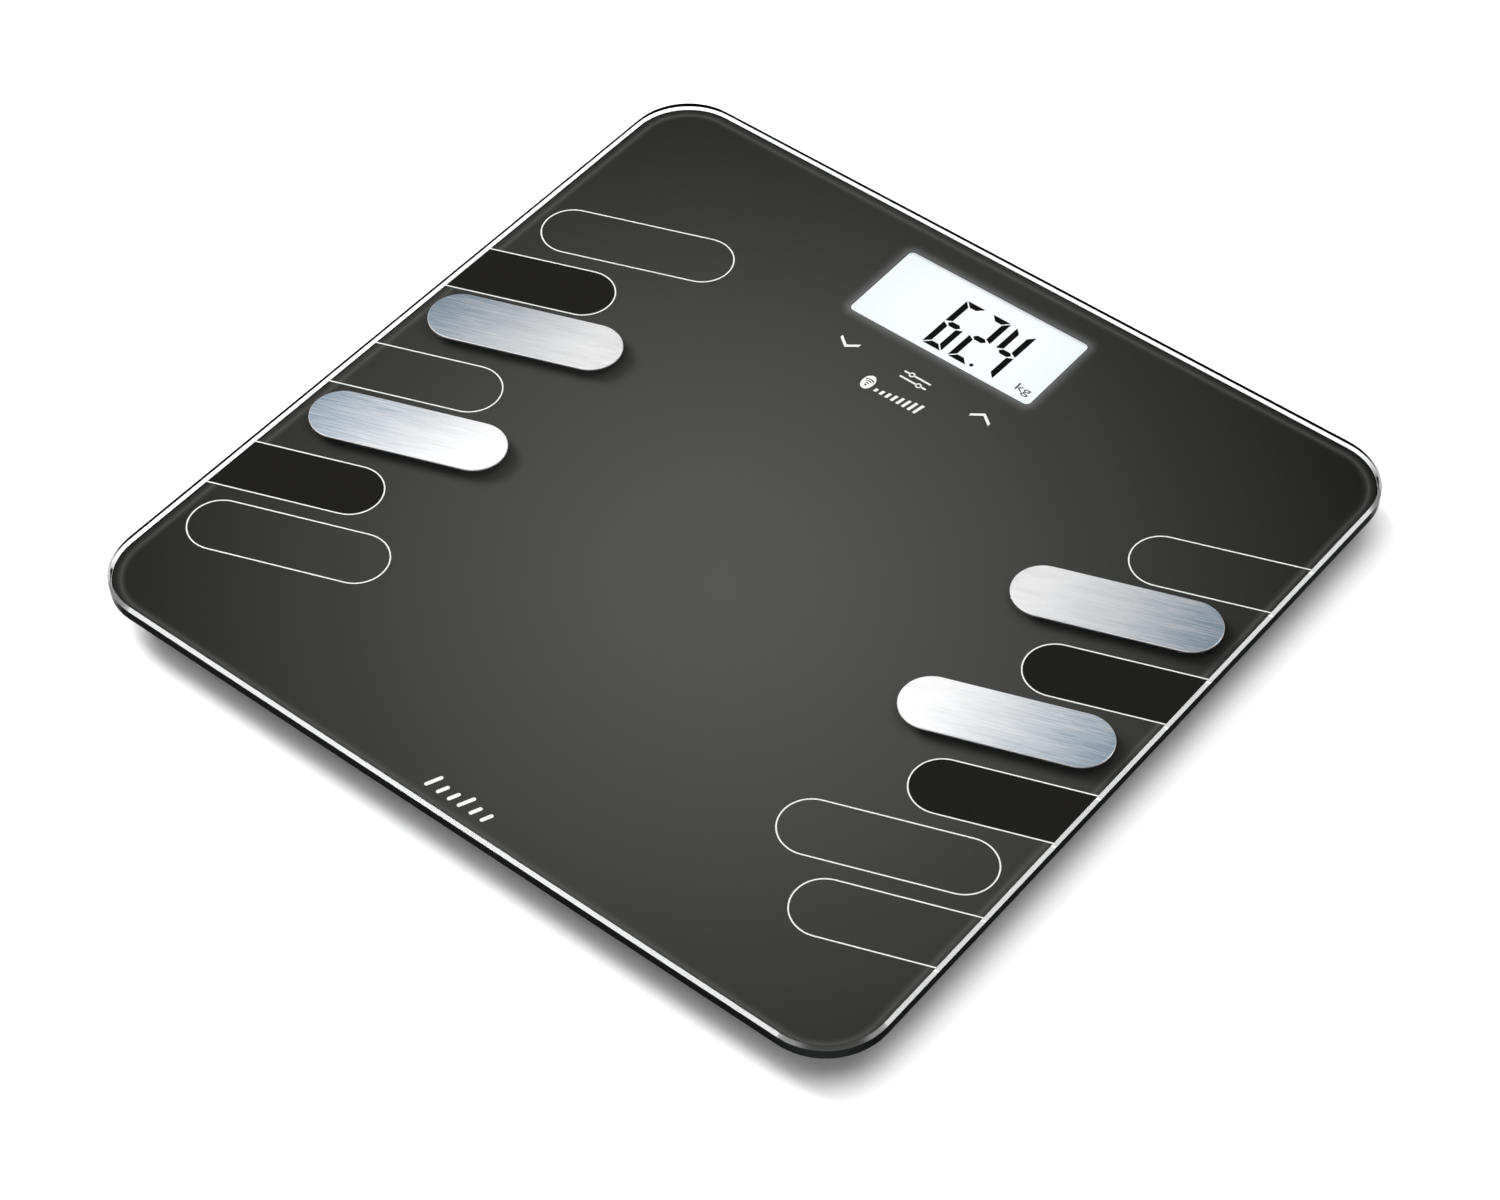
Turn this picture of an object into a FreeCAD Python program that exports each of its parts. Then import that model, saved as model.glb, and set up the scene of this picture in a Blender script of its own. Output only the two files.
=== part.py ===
import FreeCAD, Part
import math
import os
import re

import Sketcher

# A glass body-analysis bathroom scale. Millimetres. X runs across the plate, Y from the front edge to the
# display side, Z up. The origin is on the floor under the middle of the plate.

Vector = FreeCAD.Vector
doc = FreeCAD.newDocument("bathroom_scale")

# Driving sizes --------------------------------------------------------------------------------------------

SIZES = {
    # how far a cutting tool runs past what it cuts, and the smallest fit between still pieces
    "overcut": 1.0,
    "fine_gap": 0.05,
    # tempered glass plate and the film printed on its underside
    "plate_width": 312.2,
    "plate_depth": 305.2,
    "plate_thick": 6.0,
    "plate_corner": 23.0,
    "plate_bevel": 1.1,
    "under_height": 16.5,
    "film_thick": 0.1,
    "film_margin": 1.15,
    "window_width": 76.2,
    "window_depth": 36.0,
    "window_inset": 32.9,
    "window_corner": 2.0,
    # stainless electrodes, bonded on the glass, each with a stud through it
    "electrode_length": 70.0,
    "electrode_width": 22.0,
    "electrode_thick": 0.6,
    "electrode_bevel": 0.2,
    "electrode_angle": 20.2,
    "electrode_inset": 40.5,
    "electrode_pitch": 59.5,
    "left_row": -8.5,
    "right_row": 13.5,
    "bond_thick": 0.1,
    "bond_margin": 1.0,
    "stud_radius": 1.4,
    "stud_gap": 0.1,
    "stud_fit": 0.02,
    "stud_tail": 0.5,
    "eyelet_radius": 3.4,
    "eyelet_thick": 0.6,
    "barrel_radius": 0.9,
    "barrel_length": 4.0,
    "barrel_overlap": 1.0,
    # four weighing feet
    "foot_inset_x": 39.1,
    "foot_inset_y": 37.1,
    "tape_thick": 0.3,
    "tape_margin": 1.0,
    "carrier_radius": 26.0,
    "carrier_wall": 3.0,
    "carrier_roof": 1.6,
    "carrier_bevel": 1.0,
    "relief_height": 2.5,
    "relief_radius": 11.0,
    "cell_side": 34.0,
    "cell_corner": 4.0,
    "cell_thick": 1.8,
    "cell_gap": 0.2,
    "slot_width": 1.6,
    "tongue_width": 12.0,
    "tongue_length": 20.0,
    "gauge_length": 7.0,
    "gauge_width": 5.0,
    "gauge_thick": 0.3,
    "press_gap": 0.02,
    "press_radius": 4.0,
    "flange_clear": 1.6,
    "flange_thick": 1.6,
    "flange_gap": 0.8,
    "lip_gap": 0.1,
    "lip_thick": 1.4,
    "lip_reach": 1.4,
    "foot_gap": 0.8,
    "foot_bevel": 1.0,
    "pad_radius": 18.0,
    "pad_thick": 2.2,
    "pad_seat": 1.0,
    "pad_gap": 0.1,
    "pad_round": 0.5,
    # electronics housing under the display
    "case_inset": 7.1,
    "side_room": 16.2,
    "case_corner": 8.0,
    "case_wall": 2.0,
    "flange_roof": 0.8,
    "roof_gap": 2.2,
    "cover_thick": 2.0,
    "cover_bevel": 0.6,
    "boss_radius": 3.2,
    "boss_inset": 5.0,
    "screw_radius": 1.1,
    "screw_length": 6.0,
    "screw_head": 2.5,
    "head_height": 1.2,
    "screw_gap": 0.02,
    "screw_clear": 0.2,
    "screw_tail": 0.5,
    "head_gap": 0.3,
    "drive_long": 0.62,
    "drive_short": 0.19,
    "drive_depth": 0.5,
    # battery bay with three AAA cells and a hinged door
    "cell_radius": 5.25,
    "cell_length": 44.5,
    "cell_play": 0.3,
    "cell_roof_gap": 0.2,
    "nub_radius": 1.9,
    "nub_length": 1.2,
    "spring_length": 5.0,
    "spring_radius": 3.0,
    "spring_wire": 0.35,
    "contact_width": 6.8,
    "contact_thick": 0.3,
    "contact_play": 0.05,
    "bay_inset": 7.0,
    "bay_gap": 2.0,
    "bay_wall": 1.6,
    "bay_roof": 0.9,
    "bay_window_gap": 0.4,
    "door_thick": 1.6,
    "door_gap": 0.25,
    "door_ledge": 1.3,
    "door_lift": 0.4,
    "door_seat_gap": 0.1,
    "door_overlap": 1.0,
    "hinge_radius": 1.8,
    "hinge_gap": 0.3,
    "hinge_step": 1.0,
    "pin_radius": 0.9,
    "pin_gap": 0.05,
    "pin_reach": 1.2,
    "catch_width": 14.0,
    "catch_reach": 3.0,
    "grip_count": 4,
    "grip_inset": 1.5,
    "grip_pitch": 2.2,
    "grip_width": 0.9,
    "grip_depth": 0.4,
    # display
    "panel_width": 80.0,
    "panel_margin": 1.5,
    "panel_thick": 1.1,
    "panel_ledge": 3.0,
    "panel_gap": 0.1,
    "guide_thick": 3.0,
    "guide_inset": 2.0,
    "guide_margin": 0.5,
    "guide_gap": 0.1,
    "led_depth": 1.4,
    "led_width": 3.4,
    "led_margin": 0.3,
    "frame_wall": 1.6,
    "frame_gap": 0.2,
    "strip_width": 1.8,
    "strip_inset": 4.2,
    "strip_margin": 0.45,
    # boards
    "board_side_gap": 7.0,
    "board_reach": 2.8,
    "board_thick": 1.6,
    "board_lift": 3.5,
    "board_back_gap": 1.5,
    "board_corner": 2.0,
    "post_radius": 2.6,
    "post_inset_x": 5.0,
    "post_inset_y": 3.6,
    "post_screw": 0.9,
    "post_screw_head": 1.9,
    "post_head_height": 1.1,
    "post_screw_length": 4.0,
    "key_inset": 64.8,
    "key_board_width": 74.0,
    "key_board_depth": 9.6,
    "key_board_thick": 0.8,
    "header_width": 12.0,
    "header_depth": 2.5,
    "chip_x": -12.0,
    "chip_side": 12.0,
    "chip_thick": 1.2,
    "radio_x": -30.0,
    "radio_margin": 1.0,
    "radio_width": 18.0,
    "radio_depth": 8.0,
    "radio_thick": 2.2,
    # unit button and the switch that it works
    "button_x": 36.0,
    "button_inset": 35.1,
    "button_radius": 3.4,
    "button_gap": 0.1,
    "button_proud": 0.3,
    "button_rim": 1.0,
    "button_rim_thick": 0.3,
    "button_rest_gap": 0.1,
    "button_lip": 1.0,
    "button_dish": 0.3,
    "switch_side": 6.0,
    "switch_height": 2.4,
    "plunger_radius": 1.5,
    "plunger_gap": 0.05,
    "plunger_depth": 1.5,
    "plunger_engage": 0.7,
    # leads, their connectors and clips
    "cell_lead_radius": 0.85,
    "pad_lead_radius": 0.6,
    "cell_lead_drop": 3.55,
    "pad_lead_drop": 1.9,
    "lead_pitch": 4.2,
    "lead_gap": 0.25,
    "lead_start": 7.5,
    "lead_bend": 8.0,
    "trunk_gap": 2.0,
    "connector_width": 3.0,
    "connector_over": 0.4,
    "connector_margin": 1.6,
    "clip_width": 5.0,
    "clip_wall": 1.2,
    "clip_floor": 0.6,
}

# Heights and places worked out from the driving sizes ------------------------------------------------------

PLACES = {
    "half_width": "plate_width / 2",
    "half_depth": "plate_depth / 2",
    "glass_top": "under_height + plate_thick",
    "film_bottom": "under_height - film_thick",
    "housing_top": "film_bottom - tape_thick",
    "window_y": "half_depth - window_inset",
    "electrode_x": "half_width - electrode_inset",
    "electrode_bottom": "glass_top + bond_thick",
    "eyelet_bottom": "film_bottom - eyelet_thick",
    "foot_x": "half_width - foot_inset_x",
    "foot_y": "half_depth - foot_inset_y",
    "cell_top": "housing_top - carrier_roof - relief_height",
    "cell_bottom": "cell_top - cell_thick",
    "flange_top": "cell_bottom - flange_clear",
    "flange_bottom": "flange_top - flange_thick",
    "lip_top": "flange_bottom - lip_gap",
    "carrier_bottom": "lip_top - lip_thick",
    "bore_radius": "carrier_radius - carrier_wall",
    "lip_radius": "bore_radius - lip_reach",
    "foot_bottom": "pad_thick - pad_seat",
    "foot_radius": "lip_radius - foot_gap",
    "foot_flange": "bore_radius - flange_gap",
    "battery_top": "housing_top - bay_roof - cell_roof_gap",
    "battery_z": "battery_top - cell_radius",
    "door_top": "battery_z - cell_radius - door_lift",
    "cover_bottom": "door_top - door_thick",
    "cover_top": "cover_bottom + cover_thick",
    "recess_top": "door_top + door_seat_gap",
    "key_y": "half_depth - key_inset",
    "key_top": "film_bottom - fine_gap",
    "frame_half": "panel_width / 2 + frame_gap + frame_wall",
    "case_half": "frame_half + side_room + case_wall",
    "case_back": "half_depth - case_inset",
    "bay_half": "(cell_length + spring_length + 2 * contact_thick + 2 * contact_play) / 2",
    "bay_back": "key_y - key_board_depth / 2 - bay_gap - bay_wall",
    "hinge_z": "cover_bottom + hinge_radius",
    "hinge_y": "bay_back - hinge_radius - hinge_gap",
    "hinge_reach": "cell_radius + hinge_radius + hinge_gap",
    "battery_pitch": "2 * cell_radius + 2 * cell_play",
    "battery_back": "hinge_y - sqrt(hinge_reach ^ 2 - (battery_z - hinge_z) ^ 2)",
    "battery_y": "battery_back - 2 * battery_pitch",
    "bay_front": "battery_y - cell_radius - cell_play",
    "case_front": "bay_front - bay_inset",
    "case_y": "(case_front + case_back) / 2",
    "recess_half": "bay_half + door_ledge",
    "recess_front": "bay_front - door_ledge",
    "panel_top": "film_bottom - panel_gap",
    "panel_mid": "panel_top - panel_thick",
    "panel_bottom": "panel_mid - panel_thick",
    "panel_back": "window_y + window_depth / 2 + panel_margin",
    "panel_front": "window_y - window_depth / 2 - panel_margin",
    "ledge_front": "panel_front - panel_ledge",
    "guide_top": "panel_bottom - guide_gap",
    "guide_bottom": "guide_top - guide_thick",
    "board_bottom": "cover_top + board_lift",
    "board_top": "board_bottom + board_thick",
    "board_half": "case_half - case_wall - board_side_gap",
    "board_back": "case_back - case_wall - board_back_gap",
    "board_front": "key_y - board_reach",
    "board_y": "(board_front + board_back) / 2",
    "button_y": "half_depth - button_inset",
    "switch_bottom": "board_bottom - switch_height",
    "plunger_bottom": "cover_top + button_rest_gap + button_rim_thick",
    "cell_lead_z": "under_height - cell_lead_drop",
    "pad_lead_z": "under_height - pad_lead_drop",
    "connector_x": "board_half - connector_width",
}

spec = doc.addObject("Spreadsheet::Sheet", "spec")
places = doc.addObject("Spreadsheet::Sheet", "places")
SCRATCH_CELL = "D1"


def formula(text):
    """Write a size formula with each name read from its sheet."""

    def from_sheet(match):
        name = match.group(0)
        if name in SIZES:
            return "spec." + name
        if name in PLACES:
            return "places." + name
        return name

    return re.sub(r"[a-z_]+", from_sheet, str(text))


def fill_sheets():
    """Driving sizes go in as plain numbers, places as formulas on them."""
    for row, (name, value) in enumerate(SIZES.items(), start=1):
        spec.set(f"A{row}", name)
        spec.set(f"B{row}", str(value))
        spec.setAlias(f"B{row}", name)
    for row, (name, text) in enumerate(PLACES.items(), start=1):
        places.set(f"A{row}", name)
        places.set(f"B{row}", "=" + formula(text))
        places.setAlias(f"B{row}", name)
    doc.recompute()


def number(text):
    """The value that a formula has now."""
    places.set(SCRATCH_CELL, "=0 + " + formula(text))
    places.recompute()
    return float(places.get(SCRATCH_CELL))


fill_sheets()

# Building blocks -------------------------------------------------------------------------------------------

pieces = []


def piece(item, node):
    """Name a finished sub-part, which is one node of the object."""
    item.Label = node
    pieces.append(item)
    return item


def place(item, x="0", y="0", z="0", turn="0"):
    """Bind where an object stands, and its turn about Z in degrees."""
    item.setExpression("Placement.Base.x", formula(x))
    item.setExpression("Placement.Base.y", formula(y))
    item.setExpression("Placement.Base.z", formula(z))
    if turn != "0":
        item.setExpression("Placement.Rotation.Angle", formula(turn))
    return item


def block(name, x, y, z):
    """A box between two formulas on each axis."""
    item = doc.addObject("Part::Box", name)
    item.setExpression("Length", formula(f"({x[1]}) - ({x[0]})"))
    item.setExpression("Width", formula(f"({y[1]}) - ({y[0]})"))
    item.setExpression("Height", formula(f"({z[1]}) - ({z[0]})"))
    return place(item, x[0], y[0], z[0])


TURNS = {
    "X": FreeCAD.Rotation(Vector(0, 1, 0), 90),
    "Y": FreeCAD.Rotation(Vector(1, 0, 0), -90),
    "Z": FreeCAD.Rotation(),
}


def rod(name, radius, start, length, along="Z"):
    """A cylinder from a start point along one axis."""
    item = doc.addObject("Part::Cylinder", name)
    item.setExpression("Radius", formula(radius))
    item.setExpression("Height", formula(length))
    item.Placement = FreeCAD.Placement(Vector(), TURNS[along])
    return place(item, *start)


def fused(name, items):
    item = doc.addObject("Part::MultiFuse", name)
    item.Shapes = items
    item.Refine = True
    return item


def cut(name, base, tools):
    item = doc.addObject("Part::Cut", name)
    item.Base = base
    item.Tool = tools[0] if len(tools) == 1 else fused(name + "_tools", tools)
    item.Refine = True
    return item


def group(name, items):
    """Identical pieces kept as separate solids of one node."""
    item = doc.addObject("Part::Compound", name)
    item.Links = items
    return item


def origin_plane(body, role):
    return next(feature for feature in body.Origin.OriginFeatures if feature.Role == role)


def polygon_sketch(body, name, role, points):
    """A closed outline on an origin plane, each corner bound to its two formulas."""
    sketch = body.newObject("Sketcher::SketchObject", name)
    sketch.AttachmentSupport = [(origin_plane(body, role), "")]
    sketch.MapMode = "FlatFace"
    corners = [Vector(number(u), number(v), 0) for u, v in points]
    for index, corner in enumerate(corners):
        following = corners[(index + 1) % len(corners)]
        sketch.addGeometry(Part.LineSegment(corner, following), False)
    for index in range(len(corners)):
        sketch.addConstraint(Sketcher.Constraint("Coincident", index, 2, (index + 1) % len(corners), 1))
    for index, (u, v) in enumerate(points):
        for kind, text, value, axis in (
            ("DistanceX", u, corners[index].x, -2),
            ("DistanceY", v, corners[index].y, -1),
        ):
            if text == "0":
                sketch.addConstraint(Sketcher.Constraint("PointOnObject", index, 1, axis))
                continue
            row = sketch.addConstraint(Sketcher.Constraint(kind, -1, 1, index, 1, value))
            sketch.setExpression(f"Constraints[{row}]", formula(text))
    return sketch


def pad(body, name, sketch, height):
    feature = body.newObject("PartDesign::Pad", name)
    feature.Profile = sketch
    feature.setExpression("Length", formula(height))
    doc.recompute()
    return feature


def dress(body, kind, name, base, edges, amount):
    """Round or bevel some edges of a body's last feature."""
    feature = body.newObject("PartDesign::" + kind, name)
    feature.Base = (base, [f"Edge{edge}" for edge in edges])
    feature.setExpression("Radius" if kind == "Fillet" else "Size", formula(amount))
    doc.recompute()
    return feature


SAME = 1e-6


def upright_edges(shape):
    """Numbers of the edges that stand along Z."""
    found = []
    for index, edge in enumerate(shape.Edges, start=1):
        box = edge.BoundBox
        if box.ZLength > SAME and box.XLength < SAME and box.YLength < SAME:
            found.append(index)
    return found


def level_edges(shape, levels):
    """Numbers of the outer edges that lie at one of some heights."""
    found = []
    for index, edge in enumerate(shape.Edges, start=1):
        box = edge.BoundBox
        if box.ZLength < SAME and any(abs(box.ZMin - level) < SAME for level in levels):
            found.append(index)
    return found


def rounded_plate(name, width, depth, height, corner, bevel=None, bevel_top=True):
    """A plate centred on the origin with its underside at zero, its upright corners round."""
    body = doc.addObject("PartDesign::Body", name)
    half_x, half_y = f"({width}) / 2", f"({depth}) / 2"
    corners = [
        (f"-({half_x})", f"-({half_y})"),
        (half_x, f"-({half_y})"),
        (half_x, half_y),
        (f"-({half_x})", half_y),
    ]
    sketch = polygon_sketch(body, name + "_outline", "XY_Plane", corners)
    solid = pad(body, name + "_pad", sketch, height)
    solid = dress(body, "Fillet", name + "_corners", solid, upright_edges(solid.Shape), corner)
    if bevel:
        levels = [0.0, number(height)] if bevel_top else [0.0]
        dress(body, "Chamfer", name + "_bevel", solid, level_edges(solid.Shape, levels), bevel)
    return body


def stadium(name, length, width, height, bevel=None):
    """A round-ended bar along X, centred on the origin, its underside at zero."""
    body = doc.addObject("PartDesign::Body", name)
    sketch = body.newObject("Sketcher::SketchObject", name + "_outline")
    sketch.AttachmentSupport = [(origin_plane(body, "XY_Plane"), "")]
    sketch.MapMode = "FlatFace"
    radius = number(f"({width}) / 2")
    reach = number(f"({length}) / 2") - radius
    up = Vector(0, 0, 1)
    quarter = math.pi / 2
    right_end = Part.Circle(Vector(reach, 0, 0), up, radius)
    left_end = Part.Circle(Vector(-reach, 0, 0), up, radius)
    sketch.addGeometry(Part.LineSegment(Vector(-reach, -radius, 0), Vector(reach, -radius, 0)), False)
    sketch.addGeometry(Part.ArcOfCircle(right_end, -quarter, quarter), False)
    sketch.addGeometry(Part.LineSegment(Vector(reach, radius, 0), Vector(-reach, radius, 0)), False)
    sketch.addGeometry(Part.ArcOfCircle(left_end, quarter, 3 * quarter), False)
    for first in range(4):
        sketch.addConstraint(Sketcher.Constraint("Tangent", first, 2, (first + 1) % 4, 1))
    sketch.addConstraint(Sketcher.Constraint("Symmetric", 1, 3, 3, 3, -1, 1))
    sketch.addConstraint(Sketcher.Constraint("PointOnObject", 1, 3, -1))
    row = sketch.addConstraint(Sketcher.Constraint("DistanceX", 3, 3, 1, 3, 2 * reach))
    sketch.setExpression(f"Constraints[{row}]", formula(f"({length}) - ({width})"))
    row = sketch.addConstraint(Sketcher.Constraint("Radius", 1, radius))
    sketch.setExpression(f"Constraints[{row}]", formula(f"({width}) / 2"))
    solid = pad(body, name + "_pad", sketch, height)
    if bevel:
        dress(body, "Chamfer", name + "_bevel", solid, level_edges(solid.Shape, [number(height)]), bevel)
    return body


def turned(name, profile):
    """A solid turned about Z from a profile of (radius, height) formulas."""
    body = doc.addObject("PartDesign::Body", name)
    sketch = polygon_sketch(body, name + "_profile", "XZ_Plane", profile)
    feature = body.newObject("PartDesign::Revolution", name + "_turn")
    feature.Profile = sketch
    feature.ReferenceAxis = (sketch, ["V_Axis"])
    feature.Angle = 360.0
    doc.recompute()
    return body


TUBE_ERROR = 0.01


def tube(points, radius, bend):
    """A round lead along straight runs joined by tangent arcs, which stays a plain shape."""
    edges = []
    start = points[0]
    for before, corner, after in zip(points, points[1:], points[2:]):
        back = (before - corner).normalize()
        ahead = (after - corner).normalize()
        half_turn = (math.pi - back.getAngle(ahead)) / 2
        trim = bend * math.tan(half_turn)
        arc_start = corner + back * trim
        arc_end = corner + ahead * trim
        bisector = (back + ahead).normalize()
        middle = corner + bisector * (bend / math.cos(half_turn) - bend)
        edges.append(Part.LineSegment(start, arc_start).toShape())
        edges.append(Part.Arc(arc_start, middle, arc_end).toShape())
        start = arc_end
    edges.append(Part.LineSegment(start, points[-1]).toShape())
    path = Part.Wire(edges)
    ring = Part.Wire([Part.Circle(points[0], (points[1] - points[0]).normalize(), radius).toShape()])
    solid = path.makePipeShell([ring], True, False)
    expected = math.pi * radius**2 * path.Length
    error = abs(solid.Volume / expected - 1)
    assert error < TUBE_ERROR, "a tube's volume isn't its section times its length"
    return solid


SIDES = (("left", -1), ("right", 1))
ENDS = (("front", -1), ("rear", 1))
CORNERS = [(f"{end}_{side}", sign_x, sign_y) for end, sign_y in ENDS for side, sign_x in SIDES]


def electrode_y(sign_x, sign_y):
    """The two electrodes of a side stand half a pitch each way from that side's row."""
    row = "left_row" if sign_x < 0 else "right_row"
    return f"{row} + {sign_y} * electrode_pitch / 2"


# Glass plate, printed film and electrodes ------------------------------------------------------------------


def glass_platform():
    blank = rounded_plate(
        "glass_blank", "plate_width", "plate_depth", "plate_thick", "plate_corner", "plate_bevel"
    )
    place(blank, z="under_height")
    drills = []
    for corner, sign_x, sign_y in CORNERS:
        start = (f"{sign_x} * electrode_x", electrode_y(sign_x, sign_y), "under_height - overcut")
        drills.append(rod("drill_" + corner, "stud_radius + stud_gap", start, "plate_thick + 2 * overcut"))
    piece(cut("glass_plate", blank, drills), "glass_platform")


def back_film():
    width = "plate_width - 2 * film_margin"
    depth = "plate_depth - 2 * film_margin"
    blank = rounded_plate("film_blank", width, depth, "film_thick", "plate_corner - film_margin")
    place(blank, z="film_bottom")
    deep = "film_thick + 2 * overcut"
    window = rounded_plate("film_window", "window_width", "window_depth", deep, "window_corner")
    place(window, y="window_y", z="film_bottom - overcut")
    holes = [window]
    for corner, sign_x, sign_y in CORNERS:
        start = (f"{sign_x} * electrode_x", electrode_y(sign_x, sign_y), "film_bottom - overcut")
        holes.append(rod("film_hole_" + corner, "stud_radius + stud_gap", start, deep))
    piece(cut("film", blank, holes), "printed_film")


def electrodes():
    bonds, studs, eyelets = [], [], []
    for corner, sign_x, sign_y in CORNERS:
        x, y = f"{sign_x} * electrode_x", electrode_y(sign_x, sign_y)
        size = ("electrode_length", "electrode_width", "electrode_thick", "electrode_bevel")
        plate = stadium("electrode_" + corner, *size)
        place(plate, x, y, "electrode_bottom", "electrode_angle")
        piece(plate, "electrode_" + corner)

        length = "electrode_length - 2 * bond_margin"
        width = "electrode_width - 2 * bond_margin"
        layer = stadium("bond_layer_" + corner, length, width, "bond_thick")
        place(layer, x, y, "glass_top", "electrode_angle")
        start = (x, y, "glass_top - overcut")
        opening = rod("bond_hole_" + corner, "stud_radius + stud_gap", start, "bond_thick + 2 * overcut")
        bonds.append(cut("bond_" + corner, layer, [opening]))

        stud_length = "electrode_bottom - eyelet_bottom + stud_tail"
        stud_start = (x, y, "eyelet_bottom - stud_tail")
        studs.append(rod("stud_" + corner, "stud_radius", stud_start, stud_length))

        ring = rod("ring_" + corner, "eyelet_radius", (x, y, "eyelet_bottom"), "eyelet_thick")
        start = (x, y, "eyelet_bottom - overcut")
        hole = rod("ring_hole_" + corner, "stud_radius + stud_fit", start, "eyelet_thick + 2 * overcut")
        overlap = "eyelet_radius - barrel_overlap"
        near = f"({overlap})" if sign_x < 0 else f"-({overlap} + barrel_length)"
        crimp_start = (f"{x} + {near}", y, "pad_lead_z")
        crimp = rod("crimp_" + corner, "barrel_radius", crimp_start, "barrel_length", "X")
        neck_x = (f"{x} + {near}", f"{x} + {near} + barrel_length")
        neck_y = (f"{y} - barrel_radius / 2", f"{y} + barrel_radius / 2")
        neck = block("neck_" + corner, neck_x, neck_y, ("pad_lead_z", "film_bottom"))
        blank = fused("eyelet_blank_" + corner, [ring, neck, crimp])
        eyelets.append(cut("eyelet_" + corner, blank, [hole]))
    piece(group("bonds", bonds), "electrode_bonds")
    piece(group("studs", studs), "electrode_studs")
    piece(group("eyelets", eyelets), "lead_eyelets")


# Weighing feet ---------------------------------------------------------------------------------------------


def foot_carrier(corner, sign_x):
    """A cup stuck under the glass, open below, with a lip that keeps the foot in."""
    profile = [
        ("lip_radius", "carrier_bottom"),
        ("carrier_radius - carrier_bevel", "carrier_bottom"),
        ("carrier_radius", "carrier_bottom + carrier_bevel"),
        ("carrier_radius", "housing_top"),
        ("0", "housing_top"),
        ("0", "cell_top + relief_height"),
        ("relief_radius", "cell_top + relief_height"),
        ("relief_radius", "cell_top"),
        ("bore_radius", "cell_top"),
        ("bore_radius", "lip_top"),
        ("lip_radius", "lip_top"),
    ]
    cup = turned("carrier_cup_" + corner, profile)
    half = "(cell_side / 2 + cell_gap)"
    span = (f"-{half}", half)
    pocket = block("cell_pocket_" + corner, span, span, ("cell_bottom - fine_gap", "cell_top"))
    pocket = cut("cell_seat_" + corner, pocket, cell_corner_cuts("seat_" + corner, "cell_gap"))
    reach = ("0", "carrier_radius + overcut") if sign_x < 0 else ("-(carrier_radius + overcut)", "0")
    width = "(cell_lead_radius + lead_gap)"
    tall = ("cell_top", f"cell_lead_z + {width}")
    channel = block("lead_channel_" + corner, reach, (f"-{width}", width), tall)
    return cut("carrier_" + corner, cup, [pocket, channel])


def cell_corner_cuts(name, grow):
    """Slanted cuts that take the corners off a load cell's square, or off its seat."""
    cuts = []
    for turn in (45, 135, 225, 315):
        reach = f"(cell_side * sqrt(2) / 2 - cell_corner / sqrt(2) + {grow})"
        tool = doc.addObject("Part::Box", f"corner_{turn}_{name}")
        tool.setExpression("Length", formula("cell_side"))
        tool.setExpression("Width", formula("cell_side"))
        tool.setExpression("Height", formula("cell_thick + 2 * overcut"))
        slant = math.radians(turn)
        tool.Placement = FreeCAD.Placement(Vector(), FreeCAD.Rotation(Vector(0, 0, 1), turn))
        x = f"{reach} * {math.cos(slant):.9f} + cell_side / 2 * {math.sin(slant):.9f}"
        y = f"{reach} * {math.sin(slant):.9f} - cell_side / 2 * {math.cos(slant):.9f}"
        cuts.append(place(tool, x, y, "cell_bottom - overcut"))
    return cuts


def load_cell(corner):
    """A stamped steel plate whose middle tongue bends under the foot."""
    span = ("-cell_side / 2", "cell_side / 2")
    plate = block("cell_plate_" + corner, span, span, ("cell_bottom", "cell_top"))
    deep = ("cell_bottom - overcut", "cell_top + overcut")
    near, far = "tongue_width / 2", "tongue_width / 2 + slot_width"
    low, high = "-tongue_length / 2", "tongue_length / 2"
    slots = [
        block("slot_a_" + corner, (f"-({far})", f"-({near})"), (low, high), deep),
        block("slot_b_" + corner, (near, far), (low, high), deep),
        block("slot_c_" + corner, (f"-({far})", far), (high, f"{high} + slot_width"), deep),
    ]
    return cut("cell_" + corner, plate, slots + cell_corner_cuts("cell_" + corner, "0"))


def foot(corner):
    """The moving foot: a dome edge below, a flange over the lip, and a button that presses the tongue."""
    pad_bore = "pad_radius + pad_gap"
    profile = [
        ("0", "pad_thick"),
        (pad_bore, "pad_thick"),
        (pad_bore, "foot_bottom"),
        ("foot_radius - foot_bevel", "foot_bottom"),
        ("foot_radius", "foot_bottom + foot_bevel"),
        ("foot_radius", "flange_bottom"),
        ("foot_flange", "flange_bottom"),
        ("foot_flange", "flange_top"),
        ("press_radius", "flange_top"),
        ("press_radius", "cell_bottom - press_gap"),
        ("0", "cell_bottom - press_gap"),
    ]
    return turned("foot_" + corner, profile)


def foot_pad(corner):
    profile = [
        ("0", "0"),
        ("pad_radius - pad_round", "0"),
        ("pad_radius", "pad_round"),
        ("pad_radius", "pad_thick"),
        ("0", "pad_thick"),
    ]
    return turned("pad_" + corner, profile)


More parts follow.
